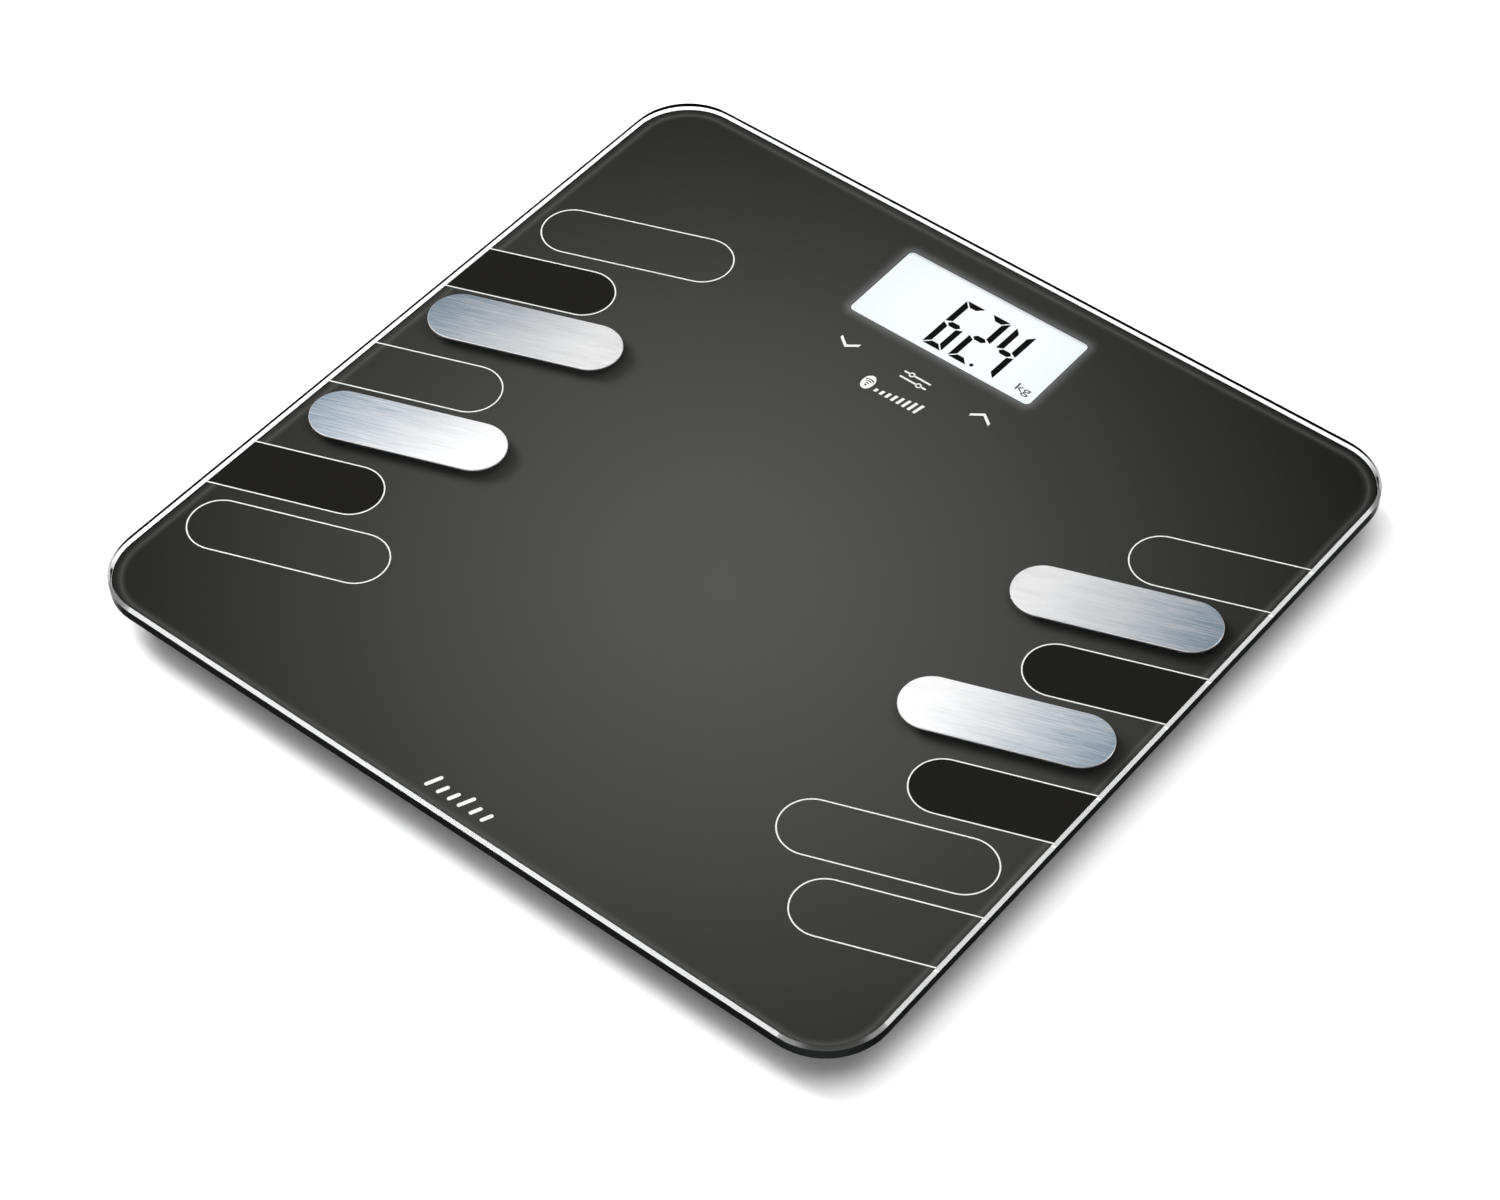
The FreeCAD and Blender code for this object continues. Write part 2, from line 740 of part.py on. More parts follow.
def feet():
    gauges, tapes = [], []
    for corner, sign_x, sign_y in CORNERS:
        x, y = f"{sign_x} * foot_x", f"{sign_y} * foot_y"
        piece(place(foot_carrier(corner, sign_x), x, y), "foot_carrier_" + corner)
        piece(place(load_cell(corner), x, y), "load_cell_" + corner)
        piece(place(foot(corner), x, y), "foot_" + corner)
        piece(place(foot_pad(corner), x, y), "foot_pad_" + corner)
        gauge_x = (f"{x} - gauge_length / 2", f"{x} + gauge_length / 2")
        gauge_y = (f"{y} - gauge_width / 2", f"{y} + gauge_width / 2")
        gauges.append(block("gauge_" + corner, gauge_x, gauge_y, ("cell_top", "cell_top + gauge_thick")))
        start = (x, y, "housing_top")
        tapes.append(rod("tape_" + corner, "carrier_radius - tape_margin", start, "tape_thick"))
    piece(group("gauges", gauges), "strain_gauges")
    piece(group("tapes", tapes), "foot_tapes")


# Electronics housing ---------------------------------------------------------------------------------------


def screw_places():
    x = "case_half - boss_inset"
    rows = ("case_front + boss_inset", "case_y", "case_back - boss_inset")
    return [(f"{sign} * ({x})", y) for y in rows for _, sign in SIDES]


def lead_rows():
    """The four leads of a side enter the housing side by side: rear foot, electrodes, front foot."""
    return {
        "rear_foot": "foot_y",
        "rear_electrode": "foot_y - lead_pitch",
        "front_electrode": "foot_y - 2 * lead_pitch",
        "front_foot": "foot_y - 3 * lead_pitch",
    }


def housing_window(name, bottom, height):
    """The wide opening in the housing's roof, over the battery bay, the key board and the display."""
    x = ("-(frame_half + roof_gap)", "frame_half + roof_gap")
    y = ("bay_front - bay_wall - bay_window_gap", "case_back - case_wall")
    return block(name, x, y, (bottom, f"({bottom}) + ({height})"))


def electronics_housing():
    width, depth = "2 * case_half", "case_back - case_front"
    outer = rounded_plate("housing_outer", width, depth, "housing_top - cover_top", "case_corner")
    place(outer, y="case_y", z="cover_top")
    inner = rounded_plate(
        "housing_inner",
        f"{width} - 2 * case_wall",
        f"{depth} - 2 * case_wall",
        "housing_top - flange_roof - cover_top + overcut",
        "case_corner - case_wall",
    )
    place(inner, y="case_y", z="cover_top - overcut")
    shell = cut("housing_shell", outer, [inner])
    bosses = []
    for index, (x, y) in enumerate(screw_places()):
        bosses.append(rod(f"boss_{index}", "boss_radius", (x, y, "cover_top"), "housing_top - cover_top"))
    deep = "flange_roof + 2 * overcut"
    holes = [housing_window("roof_window", "housing_top - flange_roof - overcut", deep)]
    pilot_depth = "screw_length - cover_thick + head_height + screw_tail + overcut"
    for index, (x, y) in enumerate(screw_places()):
        start = (x, y, "cover_top - overcut")
        holes.append(rod(f"pilot_{index}", "screw_radius + screw_gap", start, pilot_depth))
    for side, sign in SIDES:
        start_x = "case_half - case_wall - overcut" if sign > 0 else "-(case_half + overcut)"
        for lead, y in lead_rows().items():
            foot_lead = lead.endswith("foot")
            radius = "cell_lead_radius + lead_gap" if foot_lead else "pad_lead_radius + lead_gap"
            z = "cell_lead_z" if foot_lead else "pad_lead_z"
            deep = "case_wall + 2 * overcut"
            holes.append(rod(f"entry_{lead}_{side}", radius, (start_x, y, z), deep, "X"))
    piece(cut("housing", fused("housing_blank", [shell] + bosses), holes), "electronics_housing")


def housing_tape():
    width = "2 * (case_half - tape_margin)"
    depth = "case_back - case_front - 2 * tape_margin"
    frame = rounded_plate("tape_frame", width, depth, "tape_thick", "case_corner - tape_margin")
    place(frame, y="case_y", z="housing_top")
    window = housing_window("tape_window", "housing_top - overcut", "tape_thick + 2 * overcut")
    piece(cut("tape", frame, [window]), "housing_tape")


def board_posts():
    x = "board_half - post_inset_x"
    rows = ("board_front + post_inset_y", "board_back - post_inset_y")
    return [(f"{sign} * ({x})", y) for y in rows for _, sign in SIDES]


def bottom_cover():
    width, depth = "2 * case_half", "case_back - case_front"
    plate = rounded_plate("cover_plate", width, depth, "cover_thick", "case_corner", "cover_bevel", False)
    place(plate, y="case_y", z="cover_bottom")
    wall_x = "(bay_half + bay_wall)"
    bay_y = ("bay_front - bay_wall", "bay_back + bay_wall")
    box = block("bay_box", (f"-{wall_x}", wall_x), bay_y, ("cover_bottom + door_thick", "housing_top"))
    solids = [plate, box]
    post_start = "cover_bottom + cover_thick / 2"
    for index, (x, y) in enumerate(board_posts()):
        start = (x, y, post_start)
        solids.append(rod(f"post_{index}", "post_radius", start, f"board_bottom - ({post_start})"))
    blank = fused("cover_blank", solids)

    low = "cover_bottom - overcut"
    bay_z = (low, "housing_top - bay_roof")
    recess_z = (low, "recess_top")
    recess_x = ("-recess_half", "recess_half")
    catch_x = ("-(catch_width / 2 + door_gap)", "catch_width / 2 + door_gap")
    catch_y = ("recess_front - catch_reach", "recess_front + overcut")
    pin_reach = "(bay_half + pin_reach + pin_gap)"
    pin_start = (f"-{pin_reach}", "hinge_y", "hinge_z")
    through = "cover_thick + 2 * overcut"
    tools = [
        block("bay_room", ("-bay_half", "bay_half"), ("bay_front", "bay_back"), bay_z),
        block("door_recess", recess_x, ("recess_front", "bay_back"), recess_z),
        block("catch_notch", catch_x, catch_y, recess_z),
        rod("pin_holes", "pin_radius + pin_gap", pin_start, f"2 * {pin_reach}", "X"),
        rod("button_hole", "button_radius + button_gap", ("button_x", "button_y", low), through),
    ]
    for index, (x, y) in enumerate(screw_places()):
        tools.append(rod(f"cover_hole_{index}", "screw_radius + screw_clear", (x, y, low), through))
        tools.append(rod(f"head_well_{index}", "screw_head + head_gap", (x, y, low), "head_height + overcut"))
    for index, (x, y) in enumerate(board_posts()):
        start = (x, y, "board_top - post_screw_length - screw_tail")
        deep = "post_screw_length + overcut"
        tools.append(rod(f"post_hole_{index}", "post_screw + screw_gap", start, deep))
    piece(cut("cover", blank, tools), "bottom_cover")


def screws(name, spots, top, head_radius, head_height, shank_radius, length, upward):
    """Pan-head screws whose heads sit at one height and whose shanks go up or down from there."""
    long_half = f"drive_long * {head_radius}"
    short_half = f"drive_short * {head_radius}"
    deep = f"drive_depth * {head_height}"
    if upward:
        shank_start = f"{top} + {head_height} / 2"
        drive_z = (f"{top} - overcut", f"{top} + {deep}")
    else:
        shank_start = f"{top} - ({length})"
        drive_z = (f"{top} + {head_height} - {deep}", f"{top} + {head_height} + overcut")
    made = []
    for index, (x, y) in enumerate(spots):
        head = rod(f"{name}_head_{index}", head_radius, (x, y, top), head_height)
        shank_length = f"{length} + {head_height} / 2"
        shank = rod(f"{name}_shank_{index}", shank_radius, (x, y, shank_start), shank_length)
        bars = []
        for bar, (wide, tall) in enumerate(((short_half, long_half), (long_half, short_half))):
            bar_x = (f"{x} - {wide}", f"{x} + {wide}")
            bar_y = (f"{y} - {tall}", f"{y} + {tall}")
            bars.append(block(f"{name}_drive_{index}_{bar}", bar_x, bar_y, drive_z))
        made.append(cut(f"{name}_{index}", fused(f"{name}_blank_{index}", [head, shank]), bars))
    return group(name, made)


def cover_screws():
    length = "screw_length - head_height / 2"
    sizes = ("screw_head", "head_height", "screw_radius", length)
    piece(screws("cover_screw", screw_places(), "cover_bottom", *sizes, True), "cover_screws")


# Battery bay -----------------------------------------------------------------------------------------------


def battery_door():
    """A lid with a barrel and two pins at its rear edge, and a gripped catch at its front edge."""
    edge = "(recess_half - door_gap)"
    front = "recess_front + door_gap"
    tall = ("cover_bottom", "door_top")
    barrel_half = "(bay_half - door_gap)"
    pin_half = "(bay_half + pin_reach)"
    catch_x = ("-catch_width / 2", "catch_width / 2")
    catch_y = ("recess_front - catch_reach + door_gap", f"{front} + door_overlap")
    neck_y = (f"{front} + door_overlap", "hinge_y")
    barrel_start = (f"-{barrel_half}", "hinge_y", "hinge_z")
    pin_start = (f"-{pin_half}", "hinge_y", "hinge_z")
    parts = [
        block("door_panel", (f"-{edge}", edge), (front, "hinge_y - hinge_step"), tall),
        block("door_neck", (f"-{barrel_half}", barrel_half), neck_y, tall),
        rod("door_barrel", "hinge_radius", barrel_start, f"2 * {barrel_half}", "X"),
        rod("door_pins", "pin_radius", pin_start, f"2 * {pin_half}", "X"),
        block("door_catch", catch_x, catch_y, tall),
    ]
    grooves = []
    groove_z = ("cover_bottom - overcut", "cover_bottom + grip_depth")
    for index in range(int(spec.grip_count)):
        y = f"{front} + grip_inset + {index} * grip_pitch"
        grooves.append(block(f"grip_{index}", catch_x, (y, f"{y} + grip_width"), groove_z))
    piece(cut("door", fused("door_blank", parts), grooves), "battery_door")


def batteries():
    """Three cells side by side, each turned round from its neighbour."""
    springs, contacts = [], []
    for index in range(3):
        y = f"battery_y + {index} * battery_pitch"
        sign = 1 if index % 2 == 0 else -1
        tip = "(bay_half - contact_thick - contact_play)"
        can_length = "cell_length - nub_length"
        if sign > 0:
            can_start, nub_start = f"{tip} - cell_length", f"{tip} - nub_length"
        else:
            can_start, nub_start = f"-{tip} + nub_length", f"-{tip}"
        can = rod(f"can_{index}", "cell_radius", (can_start, y, "battery_z"), can_length, "X")
        nub = rod(f"nub_{index}", "nub_radius", (nub_start, y, "battery_z"), "nub_length", "X")
        piece(fused(f"battery_{index}", [can, nub]), f"battery_{index + 1}")
        springs.append(contact_spring(index, sign, number(y)))
    side = "contact_width / 2"
    tall = (f"battery_z - {side}", f"battery_z + {side}")
    x_places = {-1: ("-bay_half", "-bay_half + contact_thick"), 1: ("bay_half - contact_thick", "bay_half")}
    runs = (
        ("left_single", -1, 0, 0),
        ("left_link", -1, 1, 2),
        ("right_link", 1, 0, 1),
        ("right_single", 1, 2, 2),
    )
    for name, sign, first, last in runs:
        x = x_places[sign]
        low = f"battery_y + {first} * battery_pitch - {side}"
        high = f"battery_y + {last} * battery_pitch + {side}"
        contacts.append(block("contact_" + name, x, (low, high), tall))
    piece(group("springs", springs), "battery_springs")
    piece(group("contacts", contacts), "battery_contacts")


SPRING_TURNS = 4
STEPS_PER_TURN = 8


def contact_spring(index, sign, y):
    """A coil spring between a contact plate and the flat end of a cell, as a run of tangent arcs."""
    wire = spec.spring_wire
    radius = spec.spring_radius
    end_gap = wire + spec.fine_gap
    steps = SPRING_TURNS * STEPS_PER_TURN
    rise = spec.spring_length - 2 * end_gap
    points = []
    for step in range(steps + 1):
        angle = 2 * math.pi * step / STEPS_PER_TURN
        points.append(Vector(radius * math.cos(angle), radius * math.sin(angle), rise * step / steps))
    inner_radius = radius * math.cos(math.pi / STEPS_PER_TURN)
    item = doc.addObject("Part::Feature", f"spring_{index}")
    item.Shape = tube(points, wire, inner_radius - spec.fine_gap)
    plate_face = -sign * (places.bay_half - spec.contact_thick)
    item.Placement = FreeCAD.Placement(
        Vector(plate_face + sign * end_gap, y, places.battery_z),
        FreeCAD.Rotation(Vector(0, 1, 0), 90 * sign),
    )
    return item


# Display, boards and the unit button -----------------------------------------------------------------------


def display():
    """Two panes in a white frame, lit from one end through a light guide, joined to the board by a strip."""
    half = "panel_width / 2"
    wide = (f"-{half}", half)
    front_pane = block("front_glass", wide, ("panel_front", "panel_back"), ("panel_mid", "panel_top"))
    piece(front_pane, "display_front_glass")
    rear_pane = block("rear_glass", wide, ("ledge_front", "panel_back"), ("panel_bottom", "panel_mid"))
    piece(rear_pane, "display_rear_glass")
    guide_x = (f"-({half} - guide_inset)", f"{half} - guide_inset")
    guide_y = ("panel_front + guide_margin", "panel_back - guide_margin")
    piece(block("guide", guide_x, guide_y, ("guide_bottom", "guide_top")), "light_guide")

    leds = []
    led_end = f"-({half} - guide_inset + guide_gap)"
    led_x = (f"{led_end} - led_depth", led_end)
    led_z = ("guide_bottom + led_margin", "guide_top - led_margin")
    for index in range(3):
        y = f"window_y + {index - 1} * window_depth / 3"
        leds.append(block(f"led_{index}", led_x, (f"{y} - led_width / 2", f"{y} + led_width / 2"), led_z))
    piece(group("leds", leds), "backlight_leds")

    strip_x = (f"-({half} - strip_inset)", f"{half} - strip_inset")
    strip_y = ("ledge_front + strip_margin", "ledge_front + strip_margin + strip_width")
    piece(block("strip", strip_x, strip_y, ("board_top", "panel_bottom")), "contact_strip")

    around = "frame_gap + frame_wall"
    frame_y = (f"ledge_front - {around}", f"panel_back + {around}")
    shell = block("frame_outer", ("-frame_half", "frame_half"), frame_y, ("board_top", "panel_top"))
    room_x = (f"-({half} + frame_gap)", f"{half} + frame_gap")
    room_y = ("ledge_front - frame_gap", "panel_back + frame_gap")
    guide_room_x = (f"-({half} - guide_gap)", f"{half} - guide_gap")
    guide_room_y = (f"{guide_y[0]} - guide_gap", f"{guide_y[1]} + guide_gap")
    strip_room_x = (f"{strip_x[0]} - frame_gap", f"{strip_x[1]} + frame_gap")
    strip_room_y = (f"{strip_y[0]} - fine_gap", f"{strip_y[1]} + fine_gap")
    room_top = "panel_bottom + overcut"
    tools = [
        block("frame_room", room_x, room_y, ("panel_bottom", "panel_top + overcut")),
        block("frame_guide_room", guide_room_x, guide_room_y, ("guide_bottom", room_top)),
        block("frame_strip_room", strip_room_x, strip_room_y, ("board_top - overcut", room_top)),
    ]
    piece(cut("frame", shell, tools), "display_frame")


def boards():
    width, depth = "2 * board_half", "board_back - board_front"
    blank = rounded_plate("board_blank", width, depth, "board_thick", "board_corner")
    place(blank, y="board_y", z="board_bottom")
    holes = []
    for index, (x, y) in enumerate(board_posts()):
        start = (x, y, "board_bottom - overcut")
        deep = "board_thick + 2 * overcut"
        holes.append(rod(f"board_hole_{index}", "post_screw + screw_clear", start, deep))
    piece(cut("board", blank, holes), "main_board")
    sizes = ("post_screw_head", "post_head_height", "post_screw", "post_screw_length")
    piece(screws("board_screw", board_posts(), "board_top", *sizes, False), "board_screws")
    chip_x = ("chip_x - chip_side / 2", "chip_x + chip_side / 2")
    chip_y = ("window_y - chip_side / 2", "window_y + chip_side / 2")
    piece(block("chip", chip_x, chip_y, ("board_bottom - chip_thick", "board_bottom")), "control_chip")
    radio_x = ("radio_x - radio_width / 2", "radio_x + radio_width / 2")
    radio_y = ("board_front + radio_margin", "board_front + radio_margin + radio_depth")
    piece(block("radio", radio_x, radio_y, ("board_top", "board_top + radio_thick")), "wireless_module")
    key_x = ("-key_board_width / 2", "key_board_width / 2")
    key_y = ("key_y - key_board_depth / 2", "key_y + key_board_depth / 2")
    piece(block("key_board", key_x, key_y, ("key_top - key_board_thick", "key_top")), "touch_key_board")
    header_x = ("-header_width / 2", "header_width / 2")
    header_y = ("key_y - header_depth / 2", "key_y + header_depth / 2")
    header_z = ("board_top", "key_top - key_board_thick")
    piece(block("header", header_x, header_y, header_z), "key_board_header")

    connectors = []
    y = ("foot_y - 3 * lead_pitch - connector_margin", "foot_y + connector_margin")
    z = ("board_top", "pad_lead_z + connector_over")
    far = "connector_x + connector_width"
    for side, x in (("left", (f"-({far})", "-connector_x")), ("right", ("connector_x", far))):
        connectors.append(block("connector_" + side, x, y, z))
    piece(group("connectors", connectors), "lead_connectors")


def unit_button():
    """A cap through the cover with a rim inside it, and the plunger of the switch that it presses."""
    half = "switch_side / 2"
    body_x = (f"button_x - {half}", f"button_x + {half}")
    body_y = (f"button_y - {half}", f"button_y + {half}")
    body = block("switch_body", body_x, body_y, ("switch_bottom", "board_bottom"))
    centre = ("button_x", "button_y")
    well_start = (*centre, "switch_bottom - overcut")
    well = rod("switch_well", "plunger_radius + plunger_gap", well_start, "plunger_depth + overcut")
    piece(cut("switch", body, [well]), "unit_switch")
    length = "switch_bottom + plunger_engage - plunger_bottom"
    piece(rod("plunger", "plunger_radius", (*centre, "plunger_bottom"), length), "switch_plunger")
    cap_low = "cover_bottom - button_proud"
    rim_low = "cover_top + button_rest_gap"
    cap = rod("button_cap", "button_radius", (*centre, cap_low), f"{rim_low} - ({cap_low})")
    rim = rod("button_rim_disc", "button_radius + button_rim", (*centre, rim_low), "button_rim_thick")
    dish_start = (*centre, f"{cap_low} - overcut")
    dish = rod("button_dish_tool", "button_radius - button_lip", dish_start, "button_dish + overcut")
    piece(cut("button", fused("button_blank", [cap, rim]), [dish]), "unit_button")


# Leads and clips ------------------------------------------------------------------------------------------


# The long runs go up the plate side by side between the housing and the feet. The outer one turns as
# soon as it leaves its foot, the inner one turns into the housing, and the third keeps midway.
TRUNKS = {
    "front_electrode": "case_half + lead_bend + trunk_gap",
    "rear_electrode": "(case_half + trunk_gap + foot_x - carrier_radius) / 2",
    "front_foot": "foot_x - carrier_radius - lead_bend",
}

# Where along its run each lead is held.
CLIPS = {
    "front_electrode": ("10", "foot_y - 45"),
    "rear_electrode": ("foot_y - 36",),
    "front_foot": ("30 - foot_y", "0", "foot_y - 30"),
}


def lead_routes():
    """Each lead's points in plan and whether it comes from a foot. Leads run flat under the glass."""
    rows = {name: number(text) for name, text in lead_rows().items()}
    end_x = number("board_half + fine_gap")
    trunk = {name: number(text) for name, text in TRUNKS.items()}
    routes = {}
    for side, sign in SIDES:
        foot_start = sign * (places.foot_x - spec.lead_start)
        routes[f"load_cell_lead_rear_{side}"] = [
            (foot_start, places.foot_y),
            (sign * end_x, places.foot_y),
        ]
        routes[f"load_cell_lead_front_{side}"] = [
            (foot_start, -places.foot_y),
            (sign * trunk["front_foot"], -places.foot_y),
            (sign * trunk["front_foot"], rows["front_foot"]),
            (sign * end_x, rows["front_foot"]),
        ]
        for end, end_sign in ENDS:
            y = number(electrode_y(sign, end_sign))
            start = sign * number("electrode_x - eyelet_radius + barrel_overlap - barrel_length")
            row = f"{end}_electrode"
            routes[f"electrode_lead_{end}_{side}"] = [
                (start, y),
                (sign * trunk[row], y),
                (sign * trunk[row], rows[row]),
                (sign * end_x, rows[row]),
            ]
    return routes


def leads():
    """Each load cell's lead is a node, and the two electrode leads of a side share one."""
    pairs = {"left": [], "right": []}
    for name, points in lead_routes().items():
        from_foot = name.startswith("load_cell")
        z = places.cell_lead_z if from_foot else places.pad_lead_z
        radius = spec.cell_lead_radius if from_foot else spec.pad_lead_radius
        item = doc.addObject("Part::Feature", name)
        item.Shape = tube([Vector(x, y, z) for x, y in points], radius, spec.lead_bend)
        if from_foot:
            piece(item, name)
        else:
            pairs[name.rsplit("_", 1)[1]].append(item)
    for side, items in pairs.items():
        piece(group(f"{side}_electrode_leads", items), f"electrode_leads_{side}")


def lead_clips():
    """Saddles stuck under the film that hold the long runs."""
    spots = [(sign, run, y) for _, sign in SIDES for run, held_at in CLIPS.items() for y in held_at]
    made = []
    for index, (sign, run, y) in enumerate(spots):
        lead = "cell_lead" if run.endswith("foot") else "pad_lead"
        radius = f"({lead}_radius + fine_gap)"
        half = "clip_width / 2"
        wide = f"({radius} + clip_wall)"
        x = f"{sign} * ({TRUNKS[run]})"
        saddle_x = (f"{x} - {wide}", f"{x} + {wide}")
        saddle_y = (f"{y} - {half}", f"{y} + {half}")
        saddle_z = (f"{lead}_z - {radius} - clip_floor", "film_bottom")
        saddle = block(f"saddle_{index}", saddle_x, saddle_y, saddle_z)
        start = (x, f"{y} - {half} - overcut", f"{lead}_z")
        bore = rod(f"saddle_bore_{index}", radius, start, "clip_width + 2 * overcut", "Y")
        made.append(cut(f"clip_{index}", saddle, [bore]))
    piece(group("clips", made), "lead_clips")


# Make, check and write ------------------------------------------------------------------------------------

glass_platform()
back_film()
electrodes()
feet()
electronics_housing()
housing_tape()
bottom_cover()
cover_screws()
battery_door()
batteries()
display()
boards()
unit_button()
leads()
lead_clips()
doc.recompute()

for item in doc.Objects:
    trouble = {"Invalid", "Error"} & set(item.State)
    assert not trouble, f"{item.Name} is {trouble}"
for item in pieces:
    assert not item.Shape.isNull() and item.Shape.isValid(), f"{item.Label} has no good shape"
    assert item.Shape.Solids, f"{item.Label} has no solid"

os.makedirs("parts", exist_ok=True)
for item in pieces:
    item.Shape.exportStep(f"parts/{item.Label}.step")
    print(f"{item.Label}: {len(item.Shape.Solids)} solid(s), {item.Shape.Volume / 1000:.2f} cm3")
print(len(pieces), "nodes")
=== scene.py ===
# %% [markdown]
# # A glass bathroom scale
# The scale is a sheet of toughened glass on four weighing feet. Everything that gives it a face is
# printed on the back of the glass or lies under it, so the camera looks through six millimetres of
# glass at the print, the line work and the lit display. Only the four steel electrodes lie on top.
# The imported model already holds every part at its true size. This notebook gives each part its
# finish, adds the thin printed layers that are too fine for the model, and sets up a plain studio.

# %% Load the frame
import math

import bmesh
import bpy
from mathutils import Matrix, Vector


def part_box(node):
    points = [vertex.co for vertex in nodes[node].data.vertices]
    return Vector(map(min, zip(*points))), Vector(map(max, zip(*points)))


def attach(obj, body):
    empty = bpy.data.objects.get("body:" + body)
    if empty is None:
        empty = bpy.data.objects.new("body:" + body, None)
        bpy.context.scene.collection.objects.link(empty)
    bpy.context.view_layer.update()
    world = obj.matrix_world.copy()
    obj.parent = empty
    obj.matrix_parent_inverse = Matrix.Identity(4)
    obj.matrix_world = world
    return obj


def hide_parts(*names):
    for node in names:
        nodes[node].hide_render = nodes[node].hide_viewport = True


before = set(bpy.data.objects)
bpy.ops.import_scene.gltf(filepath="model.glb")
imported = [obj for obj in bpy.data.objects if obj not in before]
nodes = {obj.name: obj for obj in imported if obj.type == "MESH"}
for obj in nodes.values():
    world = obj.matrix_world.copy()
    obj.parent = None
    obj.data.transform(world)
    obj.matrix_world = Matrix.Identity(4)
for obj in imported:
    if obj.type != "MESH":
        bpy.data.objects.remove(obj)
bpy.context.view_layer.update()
MM = 0.001

# %% [markdown]
# ## Measures
# Sizes come from the frame wherever it holds them: the film's box gives the height of the printed
# layers, and the display glass gives the height of the digits. Only the artwork has its own sizes.

# %% Heights and outlines that the artwork is placed by
glass_low, glass_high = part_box("glass_platform")
film_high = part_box("printed_film")[1]
pane_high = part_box("display_front_glass")[1]
cover_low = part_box("bottom_cover")[0]
electrode_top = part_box("electrode_front_left")[1].z
GLASS_TOP = glass_high.z
INK_BITE = 0.02 * MM
FILM_TOP = film_high.z + INK_BITE
FILL_LEVEL = FILM_TOP + 0.004 * MM
LINE_LEVEL = FILM_TOP + 0.010 * MM
INK_THICKNESS = 0.004 * MM
DIGIT_LEVEL = pane_high.z + 0.01 * MM
DIGIT_THICKNESS = 0.02 * MM
SKIN = 0.02 * MM
WINDOW_CENTRE = Vector((0.0, 119.7 * MM))
WINDOW_HALF = Vector((38.1 * MM, 18.0 * MM))
WINDOW_CORNER = 2.0 * MM
print("glass from", round(glass_low.z / MM, 2), "to", round(GLASS_TOP / MM, 2), "mm")

# %% [markdown]
# ## Arithmetic on sockets
# A pattern is a formula on the position, so it reads best as a formula. This class wraps a socket,
# and every operator on it adds the Math node that does the same sum, in either order of its terms.


# %% A socket that takes part in sums
class Field:
    def __init__(self, finish, socket):
        self.finish = finish
        self.socket = socket

    def math(self, operation, *terms, clamp=False):
        settings = {"operation": operation, "use_clamp": clamp}
        sockets = dict(enumerate(terms))
        return self.finish.node("ShaderNodeMath", settings, sockets)

    def __add__(self, other):
        return self.math("ADD", self, other)

    __radd__ = __add__

    def __sub__(self, other):
        return self.math("SUBTRACT", self, other)

    def __rsub__(self, other):
        return self.math("SUBTRACT", other, self)

    def __mul__(self, other):
        return self.math("MULTIPLY", self, other)

    __rmul__ = __mul__

    def __truediv__(self, other):
        return self.math("DIVIDE", self, other)

    def __rtruediv__(self, other):
        return self.math("DIVIDE", other, self)

    def __pow__(self, other):
        return self.math("POWER", self, other)

    def __abs__(self):
        return self.math("ABSOLUTE", self)

    def above(self, limit):
        return self.math("MAXIMUM", self, limit)

    def below(self, limit):
        return self.math("MINIMUM", self, limit)

    def clamped(self):
        return self.math("ADD", self, 0.0, clamp=True)

    def root(self):
        return self.math("SQRT", self)

    def past(self, limit):
        return self.math("GREATER_THAN", self, limit)


# %% [markdown]
# ## A finish
# Each finish is one material. The class keeps its node tree and has one method that adds any node:
# the type, then its settings, then the values or links of its sockets. Position is read as Object
# coordinates, in metres, so that a grain has its true size on every part.


# %% The material builder
class Finish:
    def __init__(self, name, **values):
        self.material = bpy.data.materials.new(name)
        self.material.use_nodes = True
        self.tree = self.material.node_tree
        self.shader = self.tree.nodes["Principled BSDF"]
        self.output = self.tree.nodes["Material Output"]
        self.set(**values)

    def set(self, **values):
        for name, value in values.items():
            self.feed(self.shader.inputs[name.replace("_", " ")], value)
        return self

    def feed(self, socket, value):
        if isinstance(value, Field):
            self.tree.links.new(value.socket, socket)
        elif socket.type == "RGBA" and len(value) == 3:
            socket.default_value = (*value, 1.0)
        else:
            socket.default_value = value

    def node(self, kind, settings, sockets, output=0):
        made = self.tree.nodes.new(kind)
        for name, value in settings.items():
            if name == "stops":
                self.set_stops(made.color_ramp, value)
            else:
                setattr(made, name, value)
        for name, value in sockets.items():
            self.feed(made.inputs[name], value)
        return Field(self, made.outputs[output])

    @staticmethod
    def set_stops(ramp, stops):
        while len(ramp.elements) < len(stops):
            ramp.elements.new(1.0)
        for element, (place, colour) in zip(ramp.elements, stops):
            element.position = place
            element.color = (*colour, 1.0)

    def position(self):
        return self.node("ShaderNodeTexCoord", {}, {}, "Object")

    def parts(self, vector):
        node = self.node("ShaderNodeSeparateXYZ", {}, {"Vector": vector}).socket.node
        return [Field(self, node.outputs[axis]) for axis in "XYZ"]

    def vector(self, x, y, z):
        return self.node("ShaderNodeCombineXYZ", {}, {"X": x, "Y": y, "Z": z})

    def noise(self, vector, size, detail=3.0, roughness=0.5):
        sockets = {"Vector": vector, "Scale": 1.0 / size, "Detail": detail, "Roughness": roughness}
        return self.node("ShaderNodeTexNoise", {}, sockets, "Fac")

    def mix(self, factor, first, second):
        settings = {"data_type": "RGBA", "clamp_factor": True}
        return self.node("ShaderNodeMix", settings, {0: factor, 6: first, 7: second}, 2)

    def bump(self, height, distance, strength=1.0):
        sockets = {"Height": height, "Distance": distance, "Strength": strength}
        return self.node("ShaderNodeBump", {}, sockets, "Normal")


